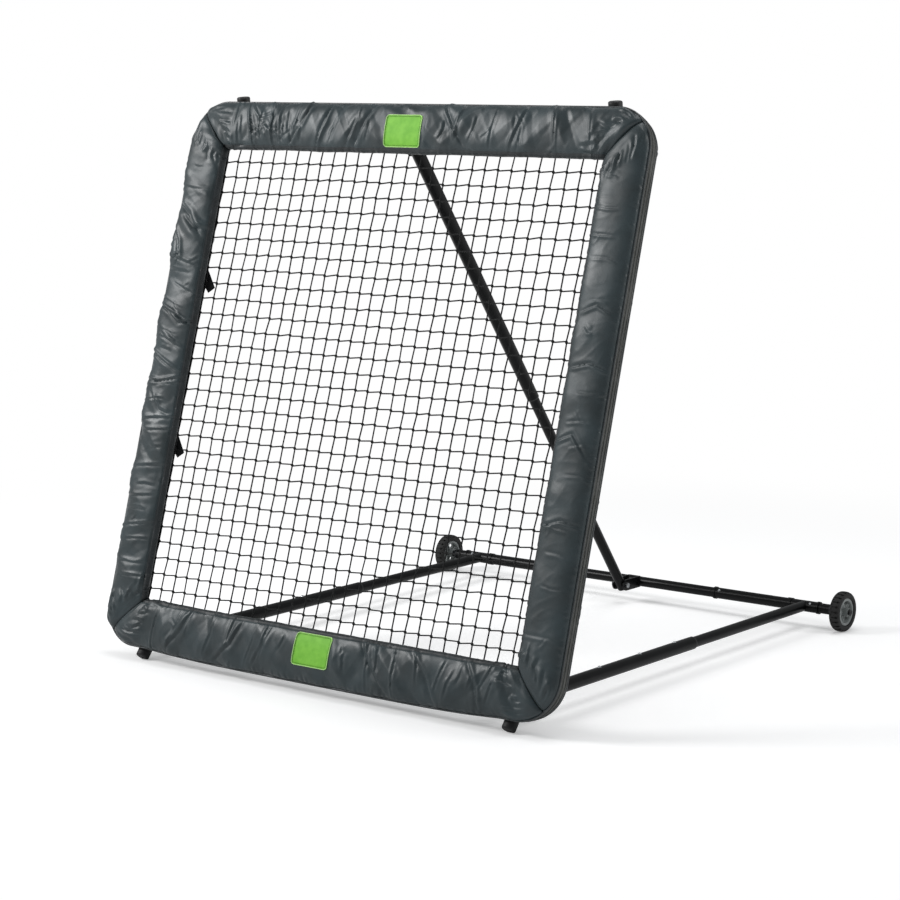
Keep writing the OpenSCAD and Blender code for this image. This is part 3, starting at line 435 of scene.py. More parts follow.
def section_ring():
    """Closed ring of section points: front, inner wall, channel round the ring's tube, back and outer wall."""
    fine = [i / CURVE_STEPS for i in range(CURVE_STEPS + 1)]
    front = [(0, -WALL)] + [(u, -depth_at(u)) for u in (FACE_GAP + (PAD_W - FACE_GAP) * t for t in fine)]
    start = SLANT + FACE_GAP
    back = [(u, depth_at(u, True)) for u in (SLOT_AT + (start - SLOT_AT) * t for t in fine)] + [(SLANT, WALL)]
    tip = CHANNEL_END
    tilt = math.asin((CHANNEL_R - CHANNEL_TIP) / (CHANNEL_END - RING_INSET))
    turn = 2 * math.pi - 2 * (math.pi / 2 - tilt)
    arc = [(RING_INSET + CHANNEL_R * math.cos(a), CHANNEL_R * math.sin(a))
           for a in (-(math.pi / 2 - tilt) - turn * i / CHANNEL_N for i in range(CHANNEL_N + 1))]
    channel = [(tip, -SLOT_H), (tip, -CHANNEL_TIP)] + arc + [(tip, CHANNEL_TIP), (tip, SLOT_H)]
    wall = [(SLANT * (1 + math.cos(a)) / 2 - BULGE * math.sin(a), WALL * math.cos(a))
            for a in (math.pi * i / OUTER_N for i in range(1, OUTER_N))]
    inner = even([(PAD_W, -HEM_FRONT), (SLOT_AT, -SLOT_H)], INNER_N)
    return even(front, FRONT_N)[:-1] + inner + channel + even(back, BACK_N) + wall


SECTION = section_ring()
# Places on the ring, counted from the front's piped edge
BINDING_J = 40  # stitch line of the hem
HEM_J = FRONT_N
LIP_J = HEM_J + INNER_N
BACK_LIP_J = LIP_J + CHANNEL_N + 6
BACK_J = BACK_LIP_J + BACK_N  # the back's piped edge
RING_N = len(SECTION)
# Stations along a side, from mitre to mitre: an even middle between two ends that follow the corners
STRAIGHT = 640.0  # half of the middle's length
STRAIGHT_N, END_N = 380, 30
END_SHARE = 0.2  # share of each half that is its end
MITRE_GAP = 0.5
MITRE_DIPS = (7, 6), (4, 30)  # depth and reach, in mm, of the dips at a mitre's seam
STATIONS = ([-1 + END_SHARE * i / END_N for i in range(END_N)]
            + [(1 - END_SHARE) * (2 * i / STRAIGHT_N - 1) for i in range(STRAIGHT_N)]
            + [1 - END_SHARE * (1 - i / END_N) for i in range(END_N + 1)])


def side_point(q, u, w):
    """Point of a side, in mm: q runs from mitre to mitre, from -1 to 1, and u inwards from the outer edge."""
    a = abs(q)
    if a <= 1 - END_SHARE:
        return Vector((q / (1 - END_SHARE) * STRAIGHT, w, u))
    run = (a - 1 + END_SHARE) / END_SHARE
    x, v = STRAIGHT + run * (HALF - u - STRAIGHT - MITRE_GAP * math.sqrt(2)), u
    if u < CORNER_R:
        straight, radius = HALF - CORNER_R - STRAIGHT, CORNER_R - u
        d = run * (straight + radius * math.pi / 4 - MITRE_GAP)
        angle = max(0, d - straight) / radius
        x, v = STRAIGHT + min(d, straight) + radius * math.sin(angle), CORNER_R - radius * math.cos(angle)
    return Vector((math.copysign(x, q), w, v))


def sag_at(side, point):
    """How far the bottom cover hangs below its outer edge at a point."""
    if side != "bottom":
        return 0.0
    along = max(0.0, 1 - (abs(point.x) / SAG_RUN) ** SAG_SQUARE)
    forward = min(1.0, max(0.0, (WALL - point.y) / (2 * WALL)))
    return (SAG - BULGE) * (1 - FRONT_LIFT * forward) * along * max(0.0, 1 - point.z / RING_INSET) ** SAG_FALL


def mitre_dip(q, u):
    """How far the cover is drawn in by the seam at its mitred ends."""
    away = (1 - abs(q)) / END_SHARE * (HALF - STRAIGHT - min(u, CORNER_R))
    return sum(deep * math.exp(-away / reach) for deep, reach in MITRE_DIPS)


# ------------------------------------------------------------------ padded covers

SEED = {"top": 1, "bottom": 2, "left": 3, "right": 4}
FRONT_LONG = 190.0  # across a front, along its cloth
BACK_LONG = 140.0

# Long creases across each face: from, to, how many, lean and height, in mm along the side
CREASES = {
    "top": ((-650, -420, 17, 46, 3.0), (-420, -90, 6, -60, 3.0), (70, 330, 6, -50, 3.0), (330, 640, 5, 24, 2.4)),
    "bottom": ((-640, -90, 8, 60, 2.8), (70, 420, 5, -40, 2.8), (420, 640, 6, 60, 3.0)),
    "left": ((-650, -540, 2, 20, 1.6), (-360, -220, 4, 60, 2.6), (-130, -60, 4, 50, 2.2), (40, 640, 13, -30, 2.8)),
    "right": ((-640, -150, 5, 30, 2.2), (-150, 350, 5, -20, 2.4), (350, 640, 4, 40, 2.2)),
}
# The folds that stand out: along and across at the start, at the kink and at the end, then height and width
FOLDS = {
    "top": ((-430, 170, -390, 100, -345, 15, 5.0, 6), (-325, 185, -300, 90, -278, 8, 5.5, 5),
            (-215, 180, -190, 110, -168, 60, 4.5, 6), (-180, 175, -150, 90, -115, 10, 5.0, 7),
            (-585, 20, -540, 70, -500, 50, 3.5, 4), (-560, 120, -520, 90, -470, 130, 3.5, 4),
            (130, 10, 170, 80, 215, 150, 4.0, 6), (420, 20, 400, 90, 372, 175, 3.4, 5)),
    "bottom": ((-560, 20, -500, 90, -465, 170, 4.5, 7), (-370, 15, -300, 80, -270, 165, 4.5, 6),
               (-215, 30, -180, 95, -170, 170, 3.6, 5), (160, 175, 200, 100, 275, 20, 4.5, 7),
               (330, 170, 400, 95, 440, 20, 4.0, 6), (520, 170, 560, 110, 590, 20, 4.0, 6)),
    "left": ((-505, 18, -470, 85, -405, 150, 6.5, 9), (-470, 55, -432, 110, -428, 178, 5.5, 8),
             (-440, 10, -385, 55, -330, 72, 5.0, 7), (-350, 2, -332, 36, -352, 80, 4.0, 4),
             (-198, 4, -170, 90, -135, 178, 5.5, 4), (-178, 60, -142, 120, -150, 182, 4.0, 4),
             (-58, 4, -30, 70, 10, 168, 5.5, 4), (32, 8, 38, 80, 20, 168, 4.5, 4),
             (60, 40, 120, 100, 135, 150, 3.4, 6), (-110, 50, -84, 100, -66, 150, 3.0, 5)),
    "right": ((-300, 20, -290, 90, -310, 160, 3.4, 4), (-120, 40, -60, 100, -85, 170, 3.6, 4),
              (110, 10, 128, 80, 112, 165, 3.4, 4), (260, 25, 285, 90, 262, 150, 3.4, 4)),
}
FORKED = 0.35  # share of the long creases that fork
PUCKERS_TO = 700.0  # puckers along the hems reach this far from the middle
MITRE_FOLDS = 9  # short folds out of each mitre's seam
SEAM_X, SEAM_SLOPE = 785, 0.55  # where the seam runs, along the side, and its slope across the face


def crease_lines(side, long, share):
    """Kinked lines (start, middle, end, height, width) across one face of a cover, in mm along and across it."""
    pick = random.Random(SEED[side] * 7 + round(long))
    lines = [(fold[0:2], fold[2:4], fold[4:6], *fold[6:]) for fold in FOLDS[side] if long == FRONT_LONG]
    for start, end, count, lean, height in CREASES[side]:
        for number in range(round(count * share)):
            x = start + (end - start) * (number + pick.uniform(0.1, 0.9)) / (count * share)
            low, high = sorted((pick.uniform(-0.1, 0.5), pick.uniform(0.55, 1.05)))
            run = lean * pick.uniform(0.1, 1.0) * (high - low)
            kink = pick.uniform(0.3, 0.7)
            middle = (x + run * kink + pick.uniform(-7, 7), long * (low + (high - low) * kink))
            lines.append(((x, long * low), middle, (x + run, long * high), height * pick.uniform(0.5, 1.0),
                          pick.uniform(2.6, 5.0)))
            if pick.random() < FORKED:
                far = (middle[0] + pick.uniform(-45, 45), middle[1] + pick.uniform(15, 45))
                halfway = ((middle[0] + far[0]) / 2 + pick.uniform(-4, 4), (middle[1] + far[1]) / 2)
                lines.append((middle, halfway, far, height * 0.6, pick.uniform(2.6, 4.5)))
    # puckers along the piped edge and the hem
    for edge, reach in ((0, 1), (long, -1)):
        x = -PUCKERS_TO
        while x < PUCKERS_TO:
            x += pick.uniform(16, 46)
            deep = pick.uniform(12, 40)
            lines.append(((x, edge), (x + pick.uniform(-4, 4), edge + reach * deep / 2),
                          (x + pick.uniform(-10, 10), edge + reach * deep), pick.uniform(0.7, 1.7),
                          pick.uniform(3.5, 5)))
    # folds drawn in by the mitres' seams
    for sx in (-1, 1):
        for number in range(MITRE_FOLDS):
            across = long * (number + pick.uniform(0.2, 0.8)) / MITRE_FOLDS
            seam = sx * (SEAM_X - SEAM_SLOPE * across)
            deep = pick.uniform(35, 110)
            lines.append(((seam, across), (seam - sx * deep / 2, across + pick.uniform(-7, 7)),
                          (seam - sx * deep, across + pick.uniform(-16, 16)), pick.uniform(2.0, 4.2),
                          pick.uniform(4, 7)))
    return lines


# Section of a crease in shares of its height and width: the valley's reach, then for the ridge on each side of
# it how tall it is, how far from the valley and how broad
VALLEY = 0.55
RIDGE = 0.9, 1.5, 1.3
FAR_RIDGE = 0.35, 2.2, 1.8


def crease_height(along, across, lines):
    """Height of all the creases at many points: a sharp valley with a soft ridge on one side of it."""
    height = np.zeros(len(along))
    place = np.stack([along, across], axis=1)
    for start, middle, end, tall, wide in lines:
        nearest = np.full(len(along), math.inf)
        signed = np.zeros(len(along))
        share = np.zeros(len(along))
        for k, (a, b) in enumerate(((start, middle), (middle, end))):
            a, b = np.array(a), np.array(b)
            run = b - a
            t = np.clip(((place - a) @ run) / (run @ run), 0, 1)
            off = place - a - t[:, None] * run
            far = np.hypot(off[:, 0], off[:, 1])
            side = np.sign(run[0] * off[:, 1] - run[1] * off[:, 0])
            closer = far < nearest
            nearest = np.where(closer, far, nearest)
            signed = np.where(closer, side * far, signed)
            share = np.where(closer, (k + t) / 2, share)
        fade = np.clip(np.minimum(share, 1 - share) * 5, 0, 1) ** 0.7
        fade = np.maximum(fade, 0.9 * (across < 2))  # no fading at the piped edge
        rise, off, broad = RIDGE
        shape = rise * np.exp(-((signed - off * wide) / (broad * wide)) ** 2) - np.exp(-nearest / (VALLEY * wide))
        rise, off, broad = FAR_RIDGE
        shape += rise * np.exp(-((signed + off * wide) / (broad * wide)) ** 2)
        height += tall * fade * shape
    return height


# Facets of each cover in two layers: their pitch, the lean of their edges and their height, in mm
FACETS = {"top": ((64, 150, 6.0), (34, -90, 2.6)), "bottom": ((84, -150, 6.0), (40, 80, 2.2)),
          "left": ((100, 120, 6.6), (46, -110, 2.4)), "right": ((130, 60, 3.6), (60, -60, 1.3))}
FACETS_TO = 900.0  # facets reach this far from the middle
FACET_SHARE = 0.6  # of its height that each of the two crossed sets of a layer takes


def facet_height(side, along, across, long):
    """Flat facets of drawn cloth: the height runs straight from one leaning fold line to the next."""
    pick = random.Random(SEED[side] * 31 + round(long))
    height = np.zeros(len(along))
    for pitch, lean, tall in FACETS[side]:
        for half in (-1, 1):
            marks = [-FACETS_TO - pitch * pick.random()]
            while marks[-1] < FACETS_TO:
                marks.append(marks[-1] + pitch * pick.uniform(0.4, 1.7))
            levels = [tall * pick.uniform(0.2, 1.0) * (1 if k % 2 else -1) for k in range(len(marks))]
            shift = half * lean * (across / long - 0.5) * (1 + 0.4 * np.sin(along / (2.3 * pitch) + half))
            height += FACET_SHARE * np.interp(along - shift, marks, levels)
    return height


SWELL, CRUMPLE, GRAIN, SINK = 1.6, 0.6, 0.15, 0.4  # mm


def fold_height(side, point):
    """Slow swells and small crumples of the cloth, in mm; the noise runs over tenths of a metre."""
    seed = SEED[side] * 17.0
    x, w, v = point / 100
    swell = noise.noise(Vector((x * 0.8, v * 0.7 + seed, w * 0.6)))
    warp = 0.5 * noise.noise(Vector((x * 0.9, v + seed, 0.4)))
    ridge = 1 - 2.4 * abs(noise.noise(Vector((x * 1.9 + warp * 2 + v * 0.8, v * 0.9 + seed, w * 0.8 + warp))))
    fine = noise.noise(Vector((x * 6.5 + seed, v * 4.0, w * 4.0)))
    return SWELL * swell + CRUMPLE * max(0.0, ridge) ** 2 + GRAIN * fine - SINK


PATCH_ROOM = 18  # mm over which the cover flattens towards a patch


def patch_room(side, point):
    """1 under a patch, where the cover lies flat, and 0 away from it."""
    if side not in PATCH_AT:
        return 0.0
    over = max(abs(point.x) - PATCH_W / 2, abs(point.z - PATCH_AT[side]) - PATCH_H / 2)
    return min(1.0, max(0.0, 1 - over / PATCH_ROOM))


def cover_blank(side):
    """Sleeve of one side before the cloth settles, as an even grid wrapped round the section."""
    bm = bmesh.new()
    part = bm.verts.layers.int.new("part")
    station = bm.verts.layers.int.new("station")
    bmesh.ops.create_grid(bm, x_segments=len(STATIONS) - 1, y_segments=RING_N, size=1)
    columns = sorted(bm.verts, key=lambda vert: (round(vert.co.x, 4), vert.co.y))
    ring = RING_N + 1
    assert len(columns) == ring * len(STATIONS)
    for i, q in enumerate(STATIONS):
        for j, vert in enumerate(columns[i * ring:(i + 1) * ring]):
            u, w = SECTION[j % RING_N]
            if j < LIP_J or BACK_LIP_J < j < BACK_J:
                w -= math.copysign(min(abs(w) - SLOT_H, mitre_dip(q, u)), w)
            vert.co = side_point(q, u, w)
            vert.co.z -= sag_at(side, vert.co)
            vert[part] = j % RING_N
            vert[station] = i
    bmesh.ops.remove_doubles(bm, verts=bm.verts, dist=0.0005)
    ends = [edge for edge in bm.edges if edge.is_boundary]
    bmesh.ops.holes_fill(bm, edges=ends, sides=0)
    bmesh.ops.recalc_face_normals(bm, faces=bm.faces)
    return bm


END_RUN = 150  # length of an end along the cloth
BACK_SHARE = 0.6  # creases on a back, against its front
CALM_HEM, CALM_PIPING = (45, 0.06), (12, 0.3)  # facets fade over so many mm to such a share
SEAM_STEPS = 3  # steps of the ring from a sewn line to free cloth
SEAM_ENDS = 70  # steepness of the same at a mitre
FLAT_SHARE = 0.9  # share of the folds that a patch takes away


def crease(bm, side):
    """Moves the cover's free skin along its normals by creases, swells and crumples; sewn lines stay put."""
    part, station = bm.verts.layers.int["part"], bm.verts.layers.int["station"]
    bm.normal_update()
    verts = [vert for vert in bm.verts if not LIP_J <= vert[part] <= BACK_LIP_J]
    js = np.array([vert[part] for vert in verts])
    q = np.array([STATIONS[vert[station]] for vert in verts])
    end = np.clip((np.abs(q) - 1 + END_SHARE) / END_SHARE, 0, 1)
    along = np.sign(q) * np.where(end > 0, STRAIGHT + end * END_RUN, np.abs(q) / (1 - END_SHARE) * STRAIGHT)
    front = js <= LIP_J
    back = (js > BACK_LIP_J) & (js <= BACK_J)
    height = np.zeros(len(verts))
    for face, across, long, share in ((front, js / HEM_J * FRONT_LONG, FRONT_LONG, 1.0),
                                      (back, (BACK_J - js) / BACK_N * BACK_LONG, BACK_LONG, BACK_SHARE)):
        height[face] = crease_height(along[face], across[face], crease_lines(side, long, share))
        calm = (np.clip((long - across[face]) / CALM_HEM[0], CALM_HEM[1], 1)
                * np.clip(across[face] / CALM_PIPING[0], CALM_PIPING[1], 1))
        height[face] += calm * facet_height(side, along[face], across[face], long)
    seam = np.where(front, np.minimum(js, LIP_J - js),
                    np.where(back, np.minimum(js - BACK_LIP_J, BACK_J - js), np.minimum(js - BACK_J, RING_N - js)))
    free = np.clip(seam / SEAM_STEPS, 0, 1) * np.clip((1 - np.abs(q)) * SEAM_ENDS, 0, 1)
    for vert, tall, share in zip(verts, height, free):
        flat = 1 - FLAT_SHARE * patch_room(side, vert.co)
        vert.co += vert.normal * share * flat * (tall + fold_height(side, vert.co))


STITCH_DEEP = 2.2


def sew(bm):
    """Draws the cloth in a little along the stitch line of the inner hem."""
    part = bm.verts.layers.int["part"]
    for vert in bm.verts:
        if vert[part] == BINDING_J:
            vert.co -= vert.normal * STITCH_DEEP


def cover_parts(mesh):
    """Material of each face: 0 the cloth, 1 the binding along the inner hem, darkened with painted shade, 2 the outer
    wall.
    """
    part = mesh.attributes["part"].data
    for face in mesh.polygons:
        js = [part[index].value for index in face.vertices]
        if min(js) >= BINDING_J and max(js) <= LIP_J:
            face.material_index = 1
        elif min(js) >= BACK_J or (max(js) > BACK_J and min(js) == 0):
            face.material_index = 2


def rooms(side):
    """Rooms in the foam behind a pad, for the legs, the hinges and the strut's bracket, in the side's own plane."""
    shapes = []
    for sx in (-1, 1):
        leg = Matrix.Translation((sx * LEG_X, WELD_W, WELD_V)) @ Matrix.Rotation(-LEG_ANGLE, 4, "X")
        shapes.append(("round", leg @ Matrix.Translation((0, 0, LEG_ROOM_MID))
                       @ Matrix.Diagonal((LEG_ROOM, LEG_ROOM, LEG_ROOM_LONG, 1))))
        shapes.append(("box", leg @ Matrix.Translation((0, 60, LEG_ROOM_MID))
                       @ Matrix.Diagonal((LEG_ROOM * 1.6, 120, LEG_CUT_LONG, 1))))
        if side == "bottom":
            (x, w, v), size = HINGE_ROOM
            shapes.append(("box", Matrix.Translation((sx * x, w, v)) @ Matrix.Diagonal((*size, 1))))
    if side == "top":
        middle, size = BRACKET_ROOM
        shapes.append(("box", Matrix.Translation(middle) @ Matrix.Diagonal((*size, 1))))
    cutters = []
    for kind, place in shapes:
        bm = bmesh.new()
        if kind == "box":
            bmesh.ops.create_cube(bm, size=1, matrix=Matrix.Scale(MM, 4) @ place)
        else:
            bmesh.ops.create_cone(bm, cap_ends=True, segments=40, radius1=1, radius2=1, depth=1,
                                  matrix=Matrix.Scale(MM, 4) @ place)
        mesh = bpy.data.meshes.new(f"room_{side}")
        bm.to_mesh(mesh)
        bm.free()
        cutters.append(bpy.data.objects.new(f"room_{side}", mesh))
        bpy.context.scene.collection.objects.link(cutters[-1])
    return cutters


SHARP = math.radians(65)  # edges that turn more stay sharp


def make_cover(side):
    """Finished cover: creased cloth, rooms cut for what passes through, and its place."""
    bm = cover_blank(side)
    crease(bm, side)
    sew(bm)
    bmesh.ops.scale(bm, vec=(MM, MM, MM), verts=bm.verts)
    mesh = bpy.data.meshes.new(f"blank_{side}")
    bm.to_mesh(mesh)
    bm.free()
    blank = bpy.data.objects.new(f"blank_{side}", mesh)
    bpy.context.scene.collection.objects.link(blank)
    for material in (COVER, SHADED_BINDING, WALL_CLOTH):
        mesh.materials.append(material)
    cover_parts(mesh)
    cutters = rooms(side) if side in ("top", "bottom") else []
    for cutter in cutters:
        cut = blank.modifiers.new("room", "BOOLEAN")
        cut.operation, cut.solver, cut.object = "DIFFERENCE", "MANIFOLD", cutter
    bm = bmesh.new()
    bm.from_mesh(evaluated(blank))
    bmesh.ops.scale(bm, vec=(1 / MM, 1 / MM, 1 / MM), verts=bm.verts)
    for edge in bm.edges:
        edge.smooth = len(edge.link_faces) != 2 or edge.calc_face_angle(0) < SHARP
    for obj in [blank, *cutters]:
        bpy.data.objects.remove(obj)
    cover = finish_piece(f"padded_cover_{side}", bm, FRAME_AT @ SIDES[side], "frame", "cover",
                         COVER, SHADED_BINDING, WALL_CLOTH)
    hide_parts(f"pad_{side}")
    return cover


def edge_line(side, j, out=0.0, step=2):
    """Points along a sewn line of the section, from mitre to mitre."""
    points = []
    for q in STATIONS[::step]:
        u, w = SECTION[j]
        point = side_point(q, u - out, w)
        point.z -= sag_at(side, point)
        points.append(point)
    return points


SEAM_ROWS, SEAM_OUT, SEAM_R = (3, 5), 0.6, 0.9  # seams along the outer wall: ring steps, mm outwards, radius


def make_piping(side):
    """Cord in a welt along both outer edges, and two raised seams along the outer wall."""
    bm = cords([edge_line(side, j) for j in (0, BACK_J)], PIPING_R)
    finish_piece(f"piping_{side}", bm, FRAME_AT @ SIDES[side], "frame", "cover", PIPING)
    bm = cords([edge_line(side, BACK_J + j, SEAM_OUT) for j in SEAM_ROWS], SEAM_R, roundness=0)
    finish_piece(f"wall_seams_{side}", bm, FRAME_AT @ SIDES[side], "frame", "cover", PIPING)


COVERS = {side: make_cover(side) for side in SIDES}
for side in SIDES:
    make_piping(side)


# ------------------------------------------------------------------ net

NET_PITCH = 46.0
CORD_R, KNOT_R, BORDER_R = 2.1, 5.3, 2.5
KNOT_SHAPE = 1.2, 0.8, 0.95
KNOT_DRIFT = 3.0, 2.0, 3.0  # how far knots lie off the even grid
BEND_UP, BEND_ACROSS = Vector((0.7, 0, 0)), Vector((0, 0.4, 1.8))  # of the cords between two knots
NET_HALF = HALF - NET_EDGE
NET_LINES = [i * NET_PITCH for i in range(-15, 16)]


def knot_place(i, j):
    """Where a knot lies, a little off the even grid (x, depth, z from the net's middle)."""
    seed = Vector((i * 3.7, j * 5.3, 0.5))
    shift = Vector((noise.noise(seed), noise.noise(seed + Vector((40, 0, 0))), noise.noise(seed + Vector((0, 40, 0)))))
    return Vector((NET_LINES[i], 0, NET_LINES[j])) + shift * Vector(KNOT_DRIFT)


def cord_run(points, bend):
    """A cord from knot to knot: it leaves each on one side and reaches the next on the other."""
    path = []
    for a, b in zip(points, points[1:]):
        path.append(a - bend)
        path.append(a.lerp(b, 0.15) - bend)
        path.append(a.lerp(b, 0.85) + bend)
        path.append(b + bend)
    return path


def make_net():
    """Knotted square net inside its border rope."""
    count = len(NET_LINES)
    lines = []
    for i in range(count):
        up = [knot_place(i, j) for j in range(count)]
        lines.append([Vector((up[0].x, 0, -NET_HALF))] + cord_run(up, BEND_UP)
                     + [Vector((up[-1].x, 0, NET_HALF))])
        across = [knot_place(j, i) for j in range(count)]
        lines.append([Vector((-NET_HALF, 0, across[0].z))] + cord_run(across, BEND_ACROSS)
                     + [Vector((NET_HALF, 0, across[-1].z))])
    place = FRAME_AT @ Matrix.Translation((0, 0, HALF))
    net = finish_piece("net_cords", cords(lines, CORD_R), place, "frame", "net_cord", CORD)
    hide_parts("net")
    bm = bmesh.new()
    for i in range(count):
        for j in range(count):
            turn = Matrix.Rotation(0.5 + 0.6 * noise.noise(Vector((i, j, 9.5))), 4, "Y")
            bmesh.ops.create_icosphere(bm, subdivisions=1, radius=KNOT_R,
                                       matrix=Matrix.Translation(knot_place(i, j)) @ turn
                                       @ Matrix.Diagonal((*KNOT_SHAPE, 1)))
    finish_piece("net_knots", bm, place, "frame", "net_cord", CORD)
    a = NET_HALF
    rope = cords([[Vector((-a, 0, -a)), Vector((a, 0, -a)), Vector((a, 0, a)), Vector((-a, 0, a))]], BORDER_R,
                 closed=True)
    finish_piece("net_border", rope, place, "frame", "net_cord", CORD)


make_net()


LOOP_CELLS = 17  # loops stand at every other one of so many cells
LOOP_W, LOOP_T = 8, 1.2
LOOP_ROUND_RING, LOOP_ROUND_ROPE = RING_R + 1.6, 4.6  # radii of a loop's two bends
RING_STEPS, ROPE_STEPS = 14, 6


def make_loops():
    """Elastic bands that tie the net's border to the ring."""
    pitch = 2 * NET_HALF / LOOP_CELLS
    reach = NET_EDGE - RING_INSET
    big, small = LOOP_ROUND_RING, LOOP_ROUND_ROPE
    tilt = math.asin((big - small) / reach)
    turns = [(RING_INSET + big * math.cos(a), big * math.sin(a))
             for a in (math.pi / 2 - tilt + (math.pi + 2 * tilt) * i / RING_STEPS for i in range(RING_STEPS + 1))]
    turns += [(NET_EDGE + small * math.cos(a), small * math.sin(a))
              for a in (tilt - math.pi / 2 + (math.pi - 2 * tilt) * i / ROPE_STEPS for i in range(ROPE_STEPS + 1))]
    bm = bmesh.new()
    for side in SIDES:
        for i in range(1, LOOP_CELLS - 1, 2):
            x = (i - LOOP_CELLS // 2) * pitch
            loop = [bm.verts.new(SIDES[side] @ Vector((x - LOOP_W / 2, w, u))) for u, w in turns]
            band = [bm.edges.new((loop[k - 1], loop[k])) for k in range(len(loop))]
            drawn = bmesh.ops.extrude_edge_only(bm, edges=band)["geom"]
            shift = SIDES[side].to_3x3() @ Vector((LOOP_W, 0, 0))
            bmesh.ops.translate(bm, vec=shift, verts=[g for g in drawn if isinstance(g, bmesh.types.BMVert)])
    bmesh.ops.recalc_face_normals(bm, faces=bm.faces)
    bmesh.ops.solidify(bm, geom=bm.faces[:], thickness=LOOP_T)
    loops = finish_piece("elastic_loops", bm, FRAME_AT, "frame", "elastic", ELASTIC)
    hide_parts("net_loops")


make_loops()


TABS = (600, 64), (1104, 78)  # height up the frame and length of each
TAB_X, TAB_BEHIND = 693, 8  # middle of a tab, from the frame's middle and behind the net's plane
TAB_HANG, TAB_TWIST = -0.85, 0.15  # radians
TAB_T, TAB_W, TAB_TIP = 3, 38, 0.7  # the tip is narrower


def make_tabs():
    """Black webbing tabs that close the covers behind the net, two on each upright pad."""
    bm = bmesh.new()
    for sx in (-1, 1):
        for height, reach in TABS:
            place = (Matrix.Translation((sx * TAB_X, TAB_BEHIND, height)) @ Matrix.Rotation(sx * TAB_HANG, 4, "Y")
                     @ Matrix.Rotation(sx * TAB_TWIST, 4, "X"))
            tab = bmesh.ops.create_cube(bm, size=1, matrix=place @ Matrix.Diagonal((reach, TAB_T, TAB_W, 1)))["verts"]
            tip = [vert for vert in tab if (place.inverted() @ vert.co).x * -sx > 0]
            middle = sum((vert.co for vert in tip), Vector()) / 4
            for vert in tip:
                vert.co = middle + (vert.co - middle) * TAB_TIP
    bmesh.ops.bevel(bm, geom=bm.edges[:], offset=0.9, segments=2, profile=0.5, affect="EDGES", material=-1)
    bmesh.ops.recalc_face_normals(bm, faces=bm.faces)
    finish_piece("closure_tabs", bm, FRAME_AT, "frame", "elastic", ELASTIC)


make_tabs()


# ------------------------------------------------------------------ patches

def rounded(width, height, radius, step):
    """Points round a rectangle with round corners, step mm apart."""
    a, b = width / 2 - radius, height / 2 - radius
    corners = [(cx, cz, math.radians(start + 15 * i))
               for cx, cz, start in ((a, b, 0), (-a, b, 90), (-a, -b, 180), (a, -b, 270)) for i in range(7)]
    turns = [(cx + radius * math.cos(turn), cz + radius * math.sin(turn)) for cx, cz, turn in corners]
    loop = []
    for (x0, z0), (x1, z1) in zip(turns, turns[1:] + turns[:1]):
        steps = max(1, round(math.hypot(x1 - x0, z1 - z0) / step))
        loop += [(x0 + (x1 - x0) * i / steps, z0 + (z1 - z0) * i / steps) for i in range(steps)]
    return loop


PATCH_R = 11  # corners
PATCH_T, PATCH_LIFT = 1.0, 0.4
BORDER_IN, PATCH_BORDER_R, BORDER_LIFT = 0.75, 1.1, 1.7
STITCH_IN, STITCH_STEP, STITCH_R, STITCH_LIFT = 5, 2.2, 0.5, 1.6


def make_patch(side):
    """Green patch with round corners, laid on the cover and sewn round its border."""
    mesh = COVERS[side].data
    place = FRAME_AT @ SIDES[side]
    back = place.inverted()
    tree = BVHTree.FromPolygons([back @ (vert.co / MM) for vert in mesh.vertices],
                                [face.vertices for face in mesh.polygons])

    def on_cover(x, v, lift):
        point = Vector((x, -200, PATCH_AT[side] + v))
        hit = tree.ray_cast(point, Vector((0, 1, 0)))[0]
        return Vector((point.x, hit.y - lift, point.z))

    bm = bmesh.new()
    bmesh.ops.create_grid(bm, x_segments=44, y_segments=32, size=0.5)
    for vert in bm.verts:
        x, v = vert.co.x * PATCH_W, vert.co.y * PATCH_H
        over = Vector((abs(x) - PATCH_W / 2 + PATCH_R, abs(v) - PATCH_H / 2 + PATCH_R))
        if over.x > 0 and over.y > 0 and over.length > PATCH_R:
            over *= PATCH_R / over.length
            x = math.copysign(PATCH_W / 2 - PATCH_R + over.x, x)
            v = math.copysign(PATCH_H / 2 - PATCH_R + over.y, v)
        vert.co = on_cover(x, v, PATCH_LIFT)
    bmesh.ops.recalc_face_normals(bm, faces=bm.faces)
    bmesh.ops.solidify(bm, geom=bm.faces[:], thickness=PATCH_T)
    bmesh.ops.recalc_face_normals(bm, faces=bm.faces)
    patch = finish_piece(f"patch_{side}", bm, place, "frame", "label", PATCH)
    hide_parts(f"label_{side}")
    outline = rounded(PATCH_W - 2 * BORDER_IN, PATCH_H - 2 * BORDER_IN, PATCH_R - 1, 3)
    border = [on_cover(x, v, BORDER_LIFT) for x, v in outline]
    finish_piece(f"patch_border_{side}", cords([border], PATCH_BORDER_R, closed=True), place, "frame", "label",
                 PALE_THREAD)
    loop = rounded(PATCH_W - 2 * STITCH_IN, PATCH_H - 2 * STITCH_IN, PATCH_R - 4, STITCH_STEP)
    stitches = [[on_cover(*loop[i], STITCH_LIFT), on_cover(*loop[i + 1], STITCH_LIFT)]
                for i in range(0, len(loop) - 1, 2)]
    finish_piece(f"patch_stitches_{side}", cords(stitches, STITCH_R, roundness=0), place, "frame", "label",
                 DARK_THREAD)


for side in PATCH_AT:
    make_patch(side)


# ------------------------------------------------------------------ floor and light

WHITE = 1, 1, 1, 1
FLOOR_HALF = 60  # m
FLOOR_LIFT = 0.27  # glow that the camera alone sees, so that the lit floor shows white
FLOOR_NEAR, FLOOR_FAR = 1.3, 3.4  # m from the middle: the floor fades from lit to plain white
FILL = 0.34  # light of the surroundings
